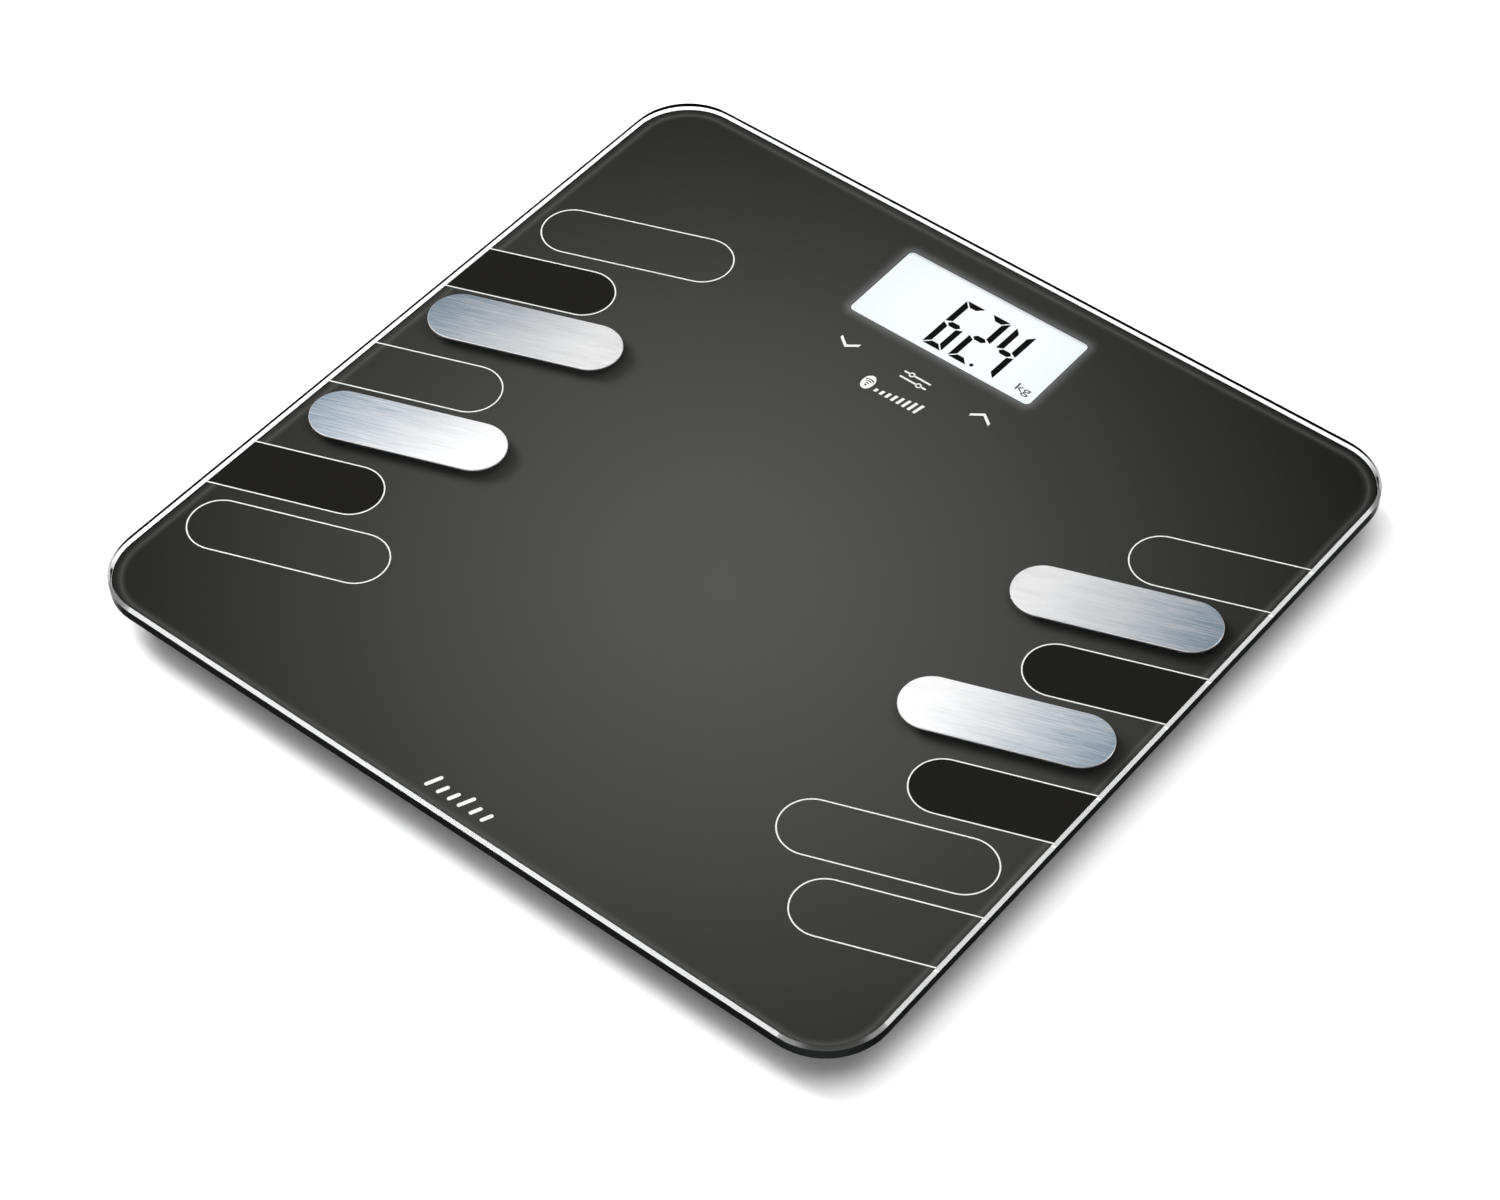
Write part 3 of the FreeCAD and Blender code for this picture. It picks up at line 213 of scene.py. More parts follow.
def dress(finish, *names):
    """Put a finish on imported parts."""
    for name in names:
        slots = nodes[name].material_slots
        if not slots:
            nodes[name].data.materials.append(finish.material)
        for slot in slots:
            slot.material = finish.material


def corners(stem):
    return [f"{stem}_{end}_{side}" for end in ("front", "rear") for side in ("left", "right")]


# %% [markdown]
# ## Glass
# The plate is clear toughened glass, polished on its faces and lightly ground on its bevels. It is
# a refracting solid, so the print is seen through its depth. The ground bevels turn partly metallic,
# so they mirror more than they pass and shine where they catch a lamp. The sides are painted shade:
# near black and almost wholly metallic, so the glass's edge stays dark. Lamps would need many rays
# to find their way through glass, so rays that look for a lamp go straight on through a Transparent
# shader, and the print is lit cleanly.

# %% Tempered glass
BEVEL = 1.1 * MM
BEVEL_MIRROR = 0.34
SIDE_MIRROR = 0.94
CLEAR = (0.975, 0.985, 0.98)
PAINTED_DARK_SIDE = (0.012, 0.013, 0.013)
SHADOW_TINT = (0.93, 0.94, 0.935)
glass = Finish("tempered_glass_finish", Base_Color=CLEAR, Transmission_Weight=1.0, IOR=1.5)
z = glass.parts(glass.position())[2]
on_bevel = (z - (GLASS_TOP - BEVEL)).past(0.0) * (GLASS_TOP - SKIN - z).past(0.0)
ground = glass.noise(glass.position(), 0.8 * MM, detail=2.0)
below_bevel = (GLASS_TOP - BEVEL - z).past(0.0)
on_side = below_bevel * (z - (glass_low.z + BEVEL)).past(0.0)
glass.set(Metallic=on_bevel * BEVEL_MIRROR + on_side * SIDE_MIRROR)
glass.set(Roughness=on_bevel * (0.14 + ground * 0.06))
# painted shade: the glass's sides are coloured near black
glass.set(Base_Color=glass.mix(on_side, CLEAR, PAINTED_DARK_SIDE))
glass.set(Specular_Tint=(0.4, 0.4, 0.4))
lamp_ray = glass.node("ShaderNodeLightPath", {}, {}, "Is Shadow Ray")
straight = glass.node("ShaderNodeBsdfTransparent", {}, {"Color": SHADOW_TINT})
solid = Field(glass, glass.shader.outputs["BSDF"])
through = glass.node("ShaderNodeMixShader", {}, {0: lamp_ray, 1: solid, 2: straight})
glass.feed(glass.output.inputs["Surface"], through)
dress(glass, "glass_platform")
print("glass plate", [round(v / MM, 1) for v in glass_high - glass_low])

# %% [markdown]
# ## Printed film
# The back of the glass is printed dark grey. Light is painted into the ink: it is lighter in the
# middle, a painted pool of studio light, and falls to near black at the rim, with a faint painted
# band of light a few millimetres inside the rim. The lit display glows through the edge of the ink
# around its window. The pool and the glow are formulas on a distance: from the plate's middle, and
# from the window's rounded outline. The ink is fused into the glass with no air between them, so
# the film is the imported one, copied, with its top a fiftieth of a millimetre up in the glass.
# With a gap, light that enters at the edge would mirror off the back and never meet the ink.

# %% A imported part's mesh as a piece of its own
PIECES = {}


def finished(bm, name, finish, body="root"):
    """Close a bmesh into an object with a finish, riding on a body."""
    bmesh.ops.recalc_face_normals(bm, faces=bm.faces)
    mesh = bpy.data.meshes.new(name)
    bm.to_mesh(mesh)
    bm.free()
    piece = bpy.data.objects.new(name, mesh)
    bpy.context.scene.collection.objects.link(piece)
    mesh.materials.append(finish.material)
    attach(piece, body)
    PIECES[name] = piece
    return piece


def copied(node):
    """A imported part's own mesh, with its loose triangles joined."""
    bm = bmesh.new()
    bm.from_mesh(nodes[node].data)
    bmesh.ops.remove_doubles(bm, verts=bm.verts, dist=1e-6)
    return bm


# %% The dark back print
film_finish = Finish("back_print", Roughness=0.6, Specular_IOR_Level=0.0)
x, y, z = film_finish.parts(film_finish.position())
VIGNETTE_CENTRE = Vector((8 * MM, -22 * MM))
VIGNETTE_ACROSS = 225 * MM
VIGNETTE_ALONG = 275 * MM
HALF_TURN = math.sqrt(0.5)
from_middle_x = x - VIGNETTE_CENTRE.x
from_middle_y = y - VIGNETTE_CENTRE.y
diagonal_across = (from_middle_x + from_middle_y) * (HALF_TURN / VIGNETTE_ACROSS)
diagonal_along = (from_middle_y - from_middle_x) * (HALF_TURN / VIGNETTE_ALONG)
from_middle = (diagonal_across * diagonal_across + diagonal_along * diagonal_along).root()
# painted light: the ink is lighter in the middle and darker towards the rim, a painted pool of studio
# light
painted_pool_stops = [
    (0.0, (0.0830, 0.0825, 0.0800)),
    (0.18, (0.0775, 0.0770, 0.0745)),
    (0.42, (0.0560, 0.0556, 0.0535)),
    (0.65, (0.0345, 0.0342, 0.0328)),
    (0.85, (0.0195, 0.0193, 0.0185)),
    (1.0, (0.0115, 0.0114, 0.0108)),
]
painted_pool = film_finish.node("ShaderNodeValToRGB", {"stops": painted_pool_stops}, {"Fac": from_middle}, "Color")


def beyond(half_x, half_y, corner, centre=Vector((0.0, 0.0))):
    """How far a point of the film lies outside a rounded rectangle; negative inside."""
    past_x = abs(x - centre.x) - (half_x - corner)
    past_y = abs(y - centre.y) - (half_y - corner)
    over_x, over_y = past_x.above(0.0), past_y.above(0.0)
    inside = past_x.math("MAXIMUM", past_x, past_y).below(0.0)
    return (over_x * over_x + over_y * over_y).root() + inside - corner


RIM_BAND_IN = 3.0 * MM
RIM_BAND_HALF = 2.2 * MM
RIM_LIGHT_STRENGTH = 0.45
RIM_LIGHT_COLOUR = (0.115, 0.115, 0.112)
RIM_LINE = 0.5 * MM
RIM_LINE_COLOUR = (0.004, 0.004, 0.004)
FILM_CORNER = 21.85 * MM
from_rim = 0.0 - beyond(film_high.x, film_high.y, FILM_CORNER)
# painted light: a lighter band a few millimetres inside the rim, where light entering at the glass's
# edge would fall on the ink
rim_light = (1.0 - abs(from_rim - RIM_BAND_IN) / RIM_BAND_HALF).clamped()
with_rim_light = film_finish.mix(rim_light * rim_light * RIM_LIGHT_STRENGTH, painted_pool, RIM_LIGHT_COLOUR)
inside_line = (from_rim / RIM_LINE).past(1.0)
film_finish.set(Base_Color=film_finish.mix(inside_line, RIM_LINE_COLOUR, with_rim_light))

# %% The glow around the display window
GLOW_WIDTH = 4.7 * MM
GLOW_COLOUR = (0.115, 0.118, 0.118)
INK_EDGE = 0.25 * MM
from_window = beyond(WINDOW_HALF.x, WINDOW_HALF.y, WINDOW_CORNER, WINDOW_CENTRE)
fade = (1.0 - from_window / GLOW_WIDTH).clamped()
glow = fade * fade * from_window.past(INK_EDGE)
glow_colour = film_finish.mix(glow, (0.0, 0.0, 0.0), GLOW_COLOUR)
film_finish.set(Emission_Color=glow_colour, Emission_Strength=1.0)
film_mesh = copied("printed_film")
for vertex in film_mesh.verts:
    if vertex.co.z > film_high.z - INK_BITE:
        vertex.co.z = FILM_TOP
film = finished(film_mesh, "back_print", film_finish)
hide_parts("printed_film")
print("film top at", round(FILM_TOP / MM, 3), "mm")

# %% [markdown]
# ## Line work
# Long round-ended shapes cross the plate at the same slant as the electrodes. Some are an outline
# alone and some are filled with deep black, and most run off the plate's edge. Each starts as a
# rectangle whose corners are bevelled until they meet, is inset by the line's width, turned, placed
# and cut off where the print ends. The inner face is the fill, and the ring round it is the line.


# %% Flat shapes
ROUNDING = {"offset_type": "OFFSET", "affect": "VERTICES", "profile": 0.5, "material": -1}


def rectangle(width, depth):
    bm = bmesh.new()
    bmesh.ops.create_grid(bm, x_segments=1, y_segments=1, size=0.5)
    bmesh.ops.scale(bm, vec=(width, depth, 1.0), verts=bm.verts)
    return bm


def rounded_bar(length, width, segments=20):
    bm = rectangle(length, width)
    corner = 0.4999 * width
    bmesh.ops.bevel(bm, geom=bm.verts[:], offset=corner, segments=segments, **ROUNDING)
    bmesh.ops.remove_doubles(bm, verts=bm.verts, dist=1e-6)
    return bm


def moved(bm, place, turn=0.0):
    bmesh.ops.rotate(bm, cent=(0, 0, 0), matrix=Matrix.Rotation(turn, 3, "Z"), verts=bm.verts)
    bmesh.ops.translate(bm, vec=(place[0], place[1], 0.0), verts=bm.verts)
    return bm


def cut(bm, point, outward):
    """Cut a flat shape off at a plane, and drop what lies outside it."""
    geometry = bm.verts[:] + bm.edges[:] + bm.faces[:]
    bmesh.ops.bisect_plane(bm, geom=geometry, plane_co=point, plane_no=outward, clear_outer=True)
    return bm


def thickened(bm, level, thickness=INK_THICKNESS):
    """Give flat faces a thickness, with their underside at a level."""
    bmesh.ops.translate(bm, vec=(0, 0, level), verts=bm.verts)
    grown = bmesh.ops.extrude_face_region(bm, geom=bm.faces[:], use_keep_orig=True)
    risen = [item for item in grown["geom"] if isinstance(item, bmesh.types.BMVert)]
    bmesh.ops.translate(bm, vec=(0, 0, thickness), verts=risen)
    return bm


def joined(parts):
    """Several bmeshes as one."""
    whole = bmesh.new()
    for bm in parts:
        mesh = bpy.data.meshes.new("part")
        bm.to_mesh(mesh)
        bm.free()
        whole.from_mesh(mesh)
        bpy.data.meshes.remove(mesh)
    return whole


# %% Where the shapes lie
LINE_WIDTH = 0.5 * MM
SHAPE_RADIUS = 10.95 * MM
SHAPE_REACH = 24.2 * MM
SHAPE_TURN = math.radians(20.5)
PAST_EDGE = 80 * MM
ALONG = Vector((math.cos(SHAPE_TURN), math.sin(SHAPE_TURN)))
CLOSED_SHAPES = ((-115.4, 80.5), (-115.2, -97.3), (114.7, -75.5))
OPEN_LINES = ((-114.75, -8.2), (113.8, 71.9), (114.0, -105.7))
OPEN_FILLED = ((-114.7, 50.9), (-114.5, -67.6), (113.9, 13.1), (114.0, -46.5))


def outlined(length, place):
    """The line round one shape, and the face inside it, as two flat bmeshes."""
    parts = []
    for inner in (False, True):
        bm = rounded_bar(length, 2 * SHAPE_RADIUS + LINE_WIDTH)
        middle = bm.faces[:]
        bmesh.ops.inset_region(bm, faces=middle, thickness=LINE_WIDTH, use_boundary=True)
        unwanted = [face for face in bm.faces if (face in middle) != inner]
        bmesh.ops.delete(bm, geom=unwanted, context="FACES")
        parts.append(moved(bm, place, SHAPE_TURN))
    return parts


def closed_shape(centre):
    length = 2 * (SHAPE_REACH + SHAPE_RADIUS) + LINE_WIDTH
    return outlined(length, Vector(centre) * MM)


def open_shape(cap_centre):
    """A shape whose inner end is round and whose outer end runs off the print."""
    side = math.copysign(1.0, cap_centre[0])
    place = Vector(cap_centre) * MM + ALONG * side * (PAST_EDGE / 2 - SHAPE_RADIUS)
    shapes = outlined(PAST_EDGE + LINE_WIDTH, place)
    return [cut(bm, (side * film_high.x, 0, 0), (side, 0, 0)) for bm in shapes]


# %% Printed lines and black fills
line_ink = Finish("white_line_ink", Roughness=0.55, Specular_IOR_Level=0.0)
grain = line_ink.noise(line_ink.position(), 0.6 * MM, detail=2.0)
line_ink.set(Base_Color=line_ink.mix(grain, (0.80, 0.80, 0.78), (0.90, 0.90, 0.88)))
black_ink = Finish("black_fill_ink", Roughness=0.65, Specular_IOR_Level=0.0)
grain = black_ink.noise(black_ink.position(), 0.9 * MM, detail=2.0)
blacks = (0.0110, 0.0106, 0.0098), (0.0150, 0.0145, 0.0135)
black_ink.set(Base_Color=black_ink.mix(grain, *blacks))
lines, fills = [], []
for shape, centres in ((closed_shape, CLOSED_SHAPES), (open_shape, OPEN_LINES)):
    for centre in centres:
        outline, inside = shape(centre)
        inside.free()
        lines.append(outline)
for centre in OPEN_FILLED:
    outline, inside = open_shape(centre)
    lines.append(outline)
    fills.append(inside)
print(len(lines), "outlines,", len(fills), "fills")
finished(thickened(joined(lines), LINE_LEVEL), "printed_lines", line_ink)
finished(thickened(joined(fills), FILL_LEVEL), "printed_fills", black_ink)

# %% [markdown]
# ## Key marks
# Three touch keys under the display are marked in white: an arrow down, a small set of sliders and
# an arrow up. Below them stand a round wireless badge and a row of rising bars, and near the front
# edge a plain row of slanted bars. They are all flat ink, cut from the same few shapes.


# %% Strokes and rings
def chevron(width, height, stroke):
    """Two strokes that meet below, grown from one upright edge by extruding it twice."""
    bm = bmesh.new()
    rise = stroke / math.cos(math.atan2(height, width / 2))
    low = bm.verts.new((-width / 2, height / 2 - rise, 0))
    high = bm.verts.new((-width / 2, height / 2, 0))
    edges = [bm.edges.new((low, high))]
    for step in (-(height - rise), height - rise):
        grown = bmesh.ops.extrude_edge_only(bm, edges=edges)["geom"]
        tips = [item for item in grown if isinstance(item, bmesh.types.BMVert)]
        edges = [
            item for item in grown
            if isinstance(item, bmesh.types.BMEdge) and all(vertex in tips for vertex in item.verts)
        ]
        bmesh.ops.translate(bm, vec=(width / 2, step, 0), verts=tips)
    return bm


def ring(radius, width, segments=40):
    bm = bmesh.new()
    bmesh.ops.create_circle(bm, cap_ends=True, segments=segments, radius=radius)
    middle = bm.faces[:]
    bmesh.ops.inset_region(bm, faces=middle, thickness=width, use_boundary=True)
    bmesh.ops.delete(bm, geom=middle, context="FACES")
    return bm


def disc(radius_x, radius_y, segments=48):
    bm = bmesh.new()
    bmesh.ops.create_circle(bm, cap_ends=True, segments=segments, radius=1.0)
    bmesh.ops.scale(bm, vec=(radius_x, radius_y, 1.0), verts=bm.verts)
    return bm


def sector(bm, half_angle):
    """Keep the part of a shape that lies within an angle of straight up."""
    for side in (-1, 1):
        cut(bm, (0, 0, 0), (side * math.cos(half_angle), -math.sin(half_angle), 0))
    return bm


def leaned(bm, lean):
    """Slant a shape to the right as it rises."""
    for vertex in bm.verts:
        vertex.co.x += vertex.co.y * math.tan(lean)
    return bm


# %% Arrow keys and the sliders between them
STROKE = 0.9 * MM
KEY_Y = 87.9 * MM
arrow_down = moved(chevron(7.9 * MM, 4.3 * MM, STROKE), (-27.6 * MM, KEY_Y))
arrow_up = moved(chevron(8.0 * MM, 4.2 * MM, STROKE), (29.2 * MM, KEY_Y), math.pi)
marks = [arrow_down, arrow_up]
SLIDER_LENGTH = 11.0 * MM
SLIDER_THICK = 0.75 * MM
KNOB_RADIUS = 1.15 * MM
KNOB_RING = 0.55 * MM
SLIDERS_X = 1.15 * MM
for row, knob_x in ((1.4 * MM, -2.4 * MM), (-1.4 * MM, 2.4 * MM)):
    gap = KNOB_RADIUS - 0.5 * KNOB_RING
    left = SLIDER_LENGTH / 2 + knob_x - gap
    right = SLIDER_LENGTH / 2 - knob_x - gap
    left_x = SLIDERS_X - SLIDER_LENGTH / 2 + left / 2
    right_x = SLIDERS_X + SLIDER_LENGTH / 2 - right / 2
    marks.append(moved(rectangle(left, SLIDER_THICK), (left_x, KEY_Y + row)))
    marks.append(moved(rectangle(right, SLIDER_THICK), (right_x, KEY_Y + row)))
    marks.append(moved(ring(KNOB_RADIUS, KNOB_RING), (SLIDERS_X + knob_x, KEY_Y + row)))

# %% Wireless badge and rising bars
BADGE = Vector((-10.85 * MM, 77.45 * MM))
marks.append(moved(disc(2.35 * MM, 3.4 * MM), BADGE))
BARS_START = -6.6 * MM
BAR_COUNT = 8
BAR_PITCH = 2.35 * MM
BAR_WIDTH = 1.15 * MM
BARS_BASE = 75.25 * MM
BARS_LEAN = math.radians(10)
BAR_SHORTEST = 1.6
BAR_RISE = 3.2
for index in range(BAR_COUNT):
    height = (BAR_SHORTEST + BAR_RISE * index / (BAR_COUNT - 1)) * MM
    bar = leaned(rectangle(BAR_WIDTH, height), BARS_LEAN)
    lean_x = math.tan(BARS_LEAN) * height / 2
    marks.append(moved(bar, (BARS_START + index * BAR_PITCH + lean_x, BARS_BASE + height / 2)))
ARC_WIDTH = 0.42 * MM
ARC_SPREAD = math.radians(34)
ARC_CENTRE = (BADGE.x, BADGE.y - 1.55 * MM)
glyph = [moved(disc(ARC_WIDTH, ARC_WIDTH, 20), ARC_CENTRE)]
for radius in (1.35 * MM, 2.3 * MM, 3.25 * MM):
    glyph.append(moved(sector(ring(radius, ARC_WIDTH), ARC_SPREAD), ARC_CENTRE))

# %% The plain mark at the front edge
MARK_CENTRE = Vector((0.45 * MM, -142.2 * MM))
MARK_COUNT = 6
MARK_PITCH = 4.5 * MM
MARK_LEAN = math.radians(66)
MARK_WIDTH = 1.4 * MM
MARK_LONG = 6.4 * MM
MARK_SHORT = 4.6 * MM
LONG_MARKS = (0, 3)
for index in range(MARK_COUNT):
    length = MARK_LONG if index in LONG_MARKS else MARK_SHORT
    bar = rounded_bar(length, MARK_WIDTH, 8)
    offset = (index - (MARK_COUNT - 1) / 2) * MARK_PITCH
    drop = (MARK_LONG - length) / 2 * math.sin(MARK_LEAN)
    marks.append(moved(bar, (MARK_CENTRE.x + offset, MARK_CENTRE.y - drop), MARK_LEAN))
finished(thickened(joined(marks), LINE_LEVEL), "printed_marks", line_ink)
arcs = thickened(joined(glyph), LINE_LEVEL + 2 * INK_THICKNESS)
finished(arcs, "badge_arcs", black_ink)

# %% [markdown]
# ## Display
# A backlit display: an even bluish white field with black seven-segment digits. The field is a
# property of the display glass, which shines by itself, a touch cooler towards its ends, with a
# painted shadow greying it along the window's top edge. The digits are thin black shapes just above
# it. Each bar of a digit is one quadrilateral whose inner side is shorter than its outer side, so
# that neighbouring bars meet at a mitre with a fine gap.

# %% Lit display glass
SHADED_EDGE = 1.4 * MM
panel = Finish("display_glass_finish", Base_Color=(0.05, 0.05, 0.05), Roughness=0.25)
panel.set(Emission_Strength=1.0)
x, y, _ = panel.parts(panel.position())
across = abs(x - WINDOW_CENTRE.x) / WINDOW_HALF.x
along = abs(y - WINDOW_CENTRE.y) / WINDOW_HALF.y
cool = (across ** 3.0 * 0.6 + along ** 4.0 * 0.25).clamped()
lit = panel.mix(cool, (0.97, 0.99, 1.0), (0.85, 0.925, 0.965))
# painted shadow: the lit field is greyed along the window's top edge
edge = ((WINDOW_CENTRE.y + WINDOW_HALF.y - y) / SHADED_EDGE).clamped()
lit = panel.mix(1.0 - edge, lit, (0.62, 0.66, 0.68))
panel.set(Emission_Color=lit)
dress(panel, "display_front_glass", "display_rear_glass")


# %% One bar of a digit
def digit_bar(length, thickness, start_cut, end_cut):
    """A bar along X, with its upper side at full length and its lower side cut back."""
    bm = rectangle(length, thickness)
    for vertex in bm.verts:
        if vertex.co.y < 0:
            vertex.co.x += start_cut if vertex.co.x < 0 else -end_cut
    return bm


def middle_bar(length, thickness):
    """The bar across a digit's waist, pointed at both ends."""
    bm = bmesh.new()
    bmesh.ops.create_circle(bm, cap_ends=True, segments=6, radius=1.0)
    moved(bm, (0, 0), math.pi / 6)
    for vertex in bm.verts:
        tip = abs(vertex.co.y) < 0.1
        reach = length / 2 if tip else length / 2 - thickness / 2
        vertex.co.x = math.copysign(reach, vertex.co.x)
        vertex.co.y = 0.0 if tip else math.copysign(thickness / 2, vertex.co.y)
    return bm


# %% Digits, point and unit
DIGIT_WIDTH = 8.1 * MM
DIGIT_HEIGHT = 25.4 * MM
DIGIT_BASE = 104.5 * MM
BAR_THICK = 2.35 * MM
BAR_GAP = 0.38 * MM
DIGIT_LEAN = math.radians(1.5)
LIT_BARS = {"6": "afgecd", "2": "abged", "4": "fgbc"}
DIGIT_STARTS = (("6", -8.4 * MM), ("2", 2.45 * MM), ("4", 13.15 * MM))
POINT_RADIUS = 0.75 * MM
POINT_CENTRE = (11.6 * MM, 105.6 * MM)


def digit(figure, start):
    """Seven places for bars, lettered clockwise from the top, with the middle one last."""
    half_w = DIGIT_WIDTH / 2
    half_h = DIGIT_HEIGHT / 2
    wide = DIGIT_WIDTH - 2 * BAR_GAP
    tall = half_h - 1.5 * BAR_GAP
    edge_x = half_w - BAR_THICK / 2
    quarter = math.pi / 2
    upper = half_h / 2
    places = {
        "a": ((0, half_h - BAR_THICK / 2), 0.0, wide, BAR_THICK, BAR_THICK),
        "d": ((0, -half_h + BAR_THICK / 2), math.pi, wide, BAR_THICK, BAR_THICK),
        "b": ((edge_x, upper), -quarter, tall, BAR_THICK, BAR_THICK / 2),
        "c": ((edge_x, -upper), -quarter, tall, BAR_THICK / 2, BAR_THICK),
        "e": ((-edge_x, -upper), quarter, tall, BAR_THICK, BAR_THICK / 2),
        "f": ((-edge_x, upper), quarter, tall, BAR_THICK / 2, BAR_THICK),
    }
    bars = []
    for letter in LIT_BARS[figure]:
        if letter == "g":
            bars.append(middle_bar(wide - BAR_THICK * 0.9, BAR_THICK))
            continue
        place, turn, length, start_cut, end_cut = places[letter]
        bars.append(moved(digit_bar(length, BAR_THICK, start_cut, end_cut), place, turn))
    whole = leaned(joined(bars), DIGIT_LEAN)
    return moved(whole, (start + half_w, DIGIT_BASE + half_h))


digits = [digit(figure, start) for figure, start in DIGIT_STARTS]
digits.append(moved(disc(POINT_RADIUS, POINT_RADIUS, 28), POINT_CENTRE))


def crystal(name, darker, lighter):
    """The shade of a display's lit cells, which is never quite even."""
    finish = Finish(name, Roughness=0.4, Specular_IOR_Level=0.0)
    domains = finish.noise(finish.position(), 0.6 * MM, detail=2.0)
    return finish.set(Base_Color=finish.mix(domains, darker, lighter))


digit_ink = crystal("digit_black", (0.0025, 0.0025, 0.0035), (0.0055, 0.0055, 0.0065))
figures = thickened(joined(digits), DIGIT_LEVEL, DIGIT_THICKNESS)
finished(figures, "display_digits", digit_ink)

# %% The unit sign
unit_ink = crystal("unit_grey", (0.024, 0.027, 0.033), (0.036, 0.039, 0.047))
letters = bpy.data.curves.new("unit_text", "FONT")
letters.body = "kg"
lettering = bpy.data.objects.new("unit_text", letters)
bpy.context.scene.collection.objects.link(lettering)
bpy.context.view_layer.update()
unit = bmesh.new()
unit.from_mesh(bpy.data.meshes.new_from_object(lettering))
bpy.data.objects.remove(lettering)
bpy.data.curves.remove(letters)
UNIT_LOW = Vector((29.6 * MM, 104.5 * MM))
UNIT_HIGH = Vector((35.4 * MM, 109.0 * MM))
low = Vector([min(vertex.co[axis] for vertex in unit.verts) for axis in range(2)])
high = Vector([max(vertex.co[axis] for vertex in unit.verts) for axis in range(2)])
wanted = UNIT_HIGH - UNIT_LOW
factor = (wanted.x / (high.x - low.x), wanted.y / (high.y - low.y), 1.0)
bmesh.ops.translate(unit, vec=(-low.x, -low.y, 0), verts=unit.verts)
bmesh.ops.scale(unit, vec=factor, verts=unit.verts)
unit = thickened(moved(unit, UNIT_LOW), DIGIT_LEVEL, DIGIT_THICKNESS)
finished(unit, "display_unit", unit_ink)
print("display digits", [figure for figure, _ in DIGIT_STARTS])

# %% [markdown]
# ## Electrodes
# Thin stainless plates, brushed along their length. Brushing leaves long fine grooves, so the
# finish is a noise stretched thirty to one along the plate's own direction. It drives a slight
# bump, the roughness and the colour. A reflection is painted into the colour: white at the plate's
# inner end and bluer towards the rim of the scale. A painted highlight runs all round the rolled-over
# edge.

# %% Brushed stainless steel
ELECTRODE_TURN = math.radians(20.2)
INNER_END = 92 * MM
REFLECTION_FADE_LENGTH = 56 * MM
PAINTED_HIGHLIGHT = (1.0, 1.0, 1.0)
PAINTED_BLUE_REFLECTION = (0.24, 0.31, 0.38)
steel = Finish("brushed_stainless_finish", Metallic=1.0)
turned = steel.node(
    "ShaderNodeVectorRotate",
    {"rotation_type": "Z_AXIS"},
    {"Vector": steel.position(), "Angle": -ELECTRODE_TURN},
    "Vector",
)
along, across, up = steel.parts(turned)
drawn_out = steel.vector(along / 30.0, across, up)
streaks = steel.noise(drawn_out, 0.42 * MM, detail=5.0, roughness=0.7)
broad = steel.noise(steel.vector(along / 9.0, across, up), 3.2 * MM, detail=2.0)
x, _, z = steel.parts(steel.position())
# painted reflection: the steel is coloured white at its inner end and bluer towards the rim
outward = ((abs(x) - INNER_END) / REFLECTION_FADE_LENGTH).clamped()
scratches = (streaks - 0.5) * (0.8 + outward * 1.1)
shade = (outward * 0.95 + scratches + (broad - 0.5) * 0.35).clamped()
brushed_with_painted_reflection = steel.mix(shade, PAINTED_HIGHLIGHT, PAINTED_BLUE_REFLECTION)
# painted highlight: every face below the plate's top face, its rolled-over edge, is coloured white
painted_edge_glint = (electrode_top - SKIN - z).past(0.0)
steel.set(Base_Color=steel.mix(painted_edge_glint, brushed_with_painted_reflection, PAINTED_HIGHLIGHT))
steel.set(Roughness=0.40 + (streaks - 0.5) * 0.2)
steel.set(Normal=steel.bump(streaks, 0.03 * MM, 0.4))
dress(steel, *corners("electrode"))

# %% [markdown]
# ## Moulded plastics and rubber
# Under the glass nearly everything is moulded plastic, with the fine even texture of a
# spark-eroded mould. One recipe serves it all: a fine noise for the texture, a broad one for the
# slight change of sheen over a moulding, and a colour. The pads are foam rubber, with open pores.


# %% Moulded plastic recipe
def moulded(name, colour, roughness=0.5, grain=0.45 * MM, depth=0.03 * MM, sheen=0.12):
    finish = Finish(name)
    place = finish.position()
    texture = finish.noise(place, grain, detail=3.0, roughness=0.6)
    patches = finish.noise(place, 18 * MM, detail=2.0)
    lighter = tuple(min(1.0, channel * 1.25 + 0.004) for channel in colour)
    darker = tuple(channel * 0.82 for channel in colour)
    finish.set(Base_Color=finish.mix(patches * 0.6 + texture * 0.4, darker, lighter))
    finish.set(Roughness=roughness + (patches - 0.5) * sheen + (texture - 0.5) * sheen)
    finish.set(Normal=finish.bump(texture, depth, 0.5))
    return finish


dress(moulded("carrier_plastic_finish", (0.022, 0.022, 0.023)), *corners("foot_carrier"))
dress(moulded("foot_plastic_finish", (0.026, 0.026, 0.027), 0.42), *corners("foot"))
COARSE = (0.6 * MM, 0.05 * MM)
housing_finish = moulded("housing_plastic_finish", (0.024, 0.024, 0.025), 0.55, *COARSE)
dress(housing_finish, "electronics_housing", "bottom_cover")
dress(moulded("door_plastic_finish", (0.021, 0.021, 0.022), 0.5, *COARSE), "battery_door")
dress(moulded("button_plastic_finish", (0.11, 0.11, 0.115), 0.4), "unit_button", "switch_plunger")
dress(moulded("frame_plastic_finish", (0.72, 0.72, 0.70), 0.45), "display_frame")
dress(moulded("light_guide_finish", (0.85, 0.88, 0.90), 0.3), "light_guide", "backlight_leds")
header_finish = moulded("header_plastic_finish", (0.70, 0.68, 0.60), 0.4)
dress(header_finish, "key_board_header", "lead_connectors")
dress(moulded("clip_plastic_finish", (0.62, 0.61, 0.58), 0.4), "lead_clips")
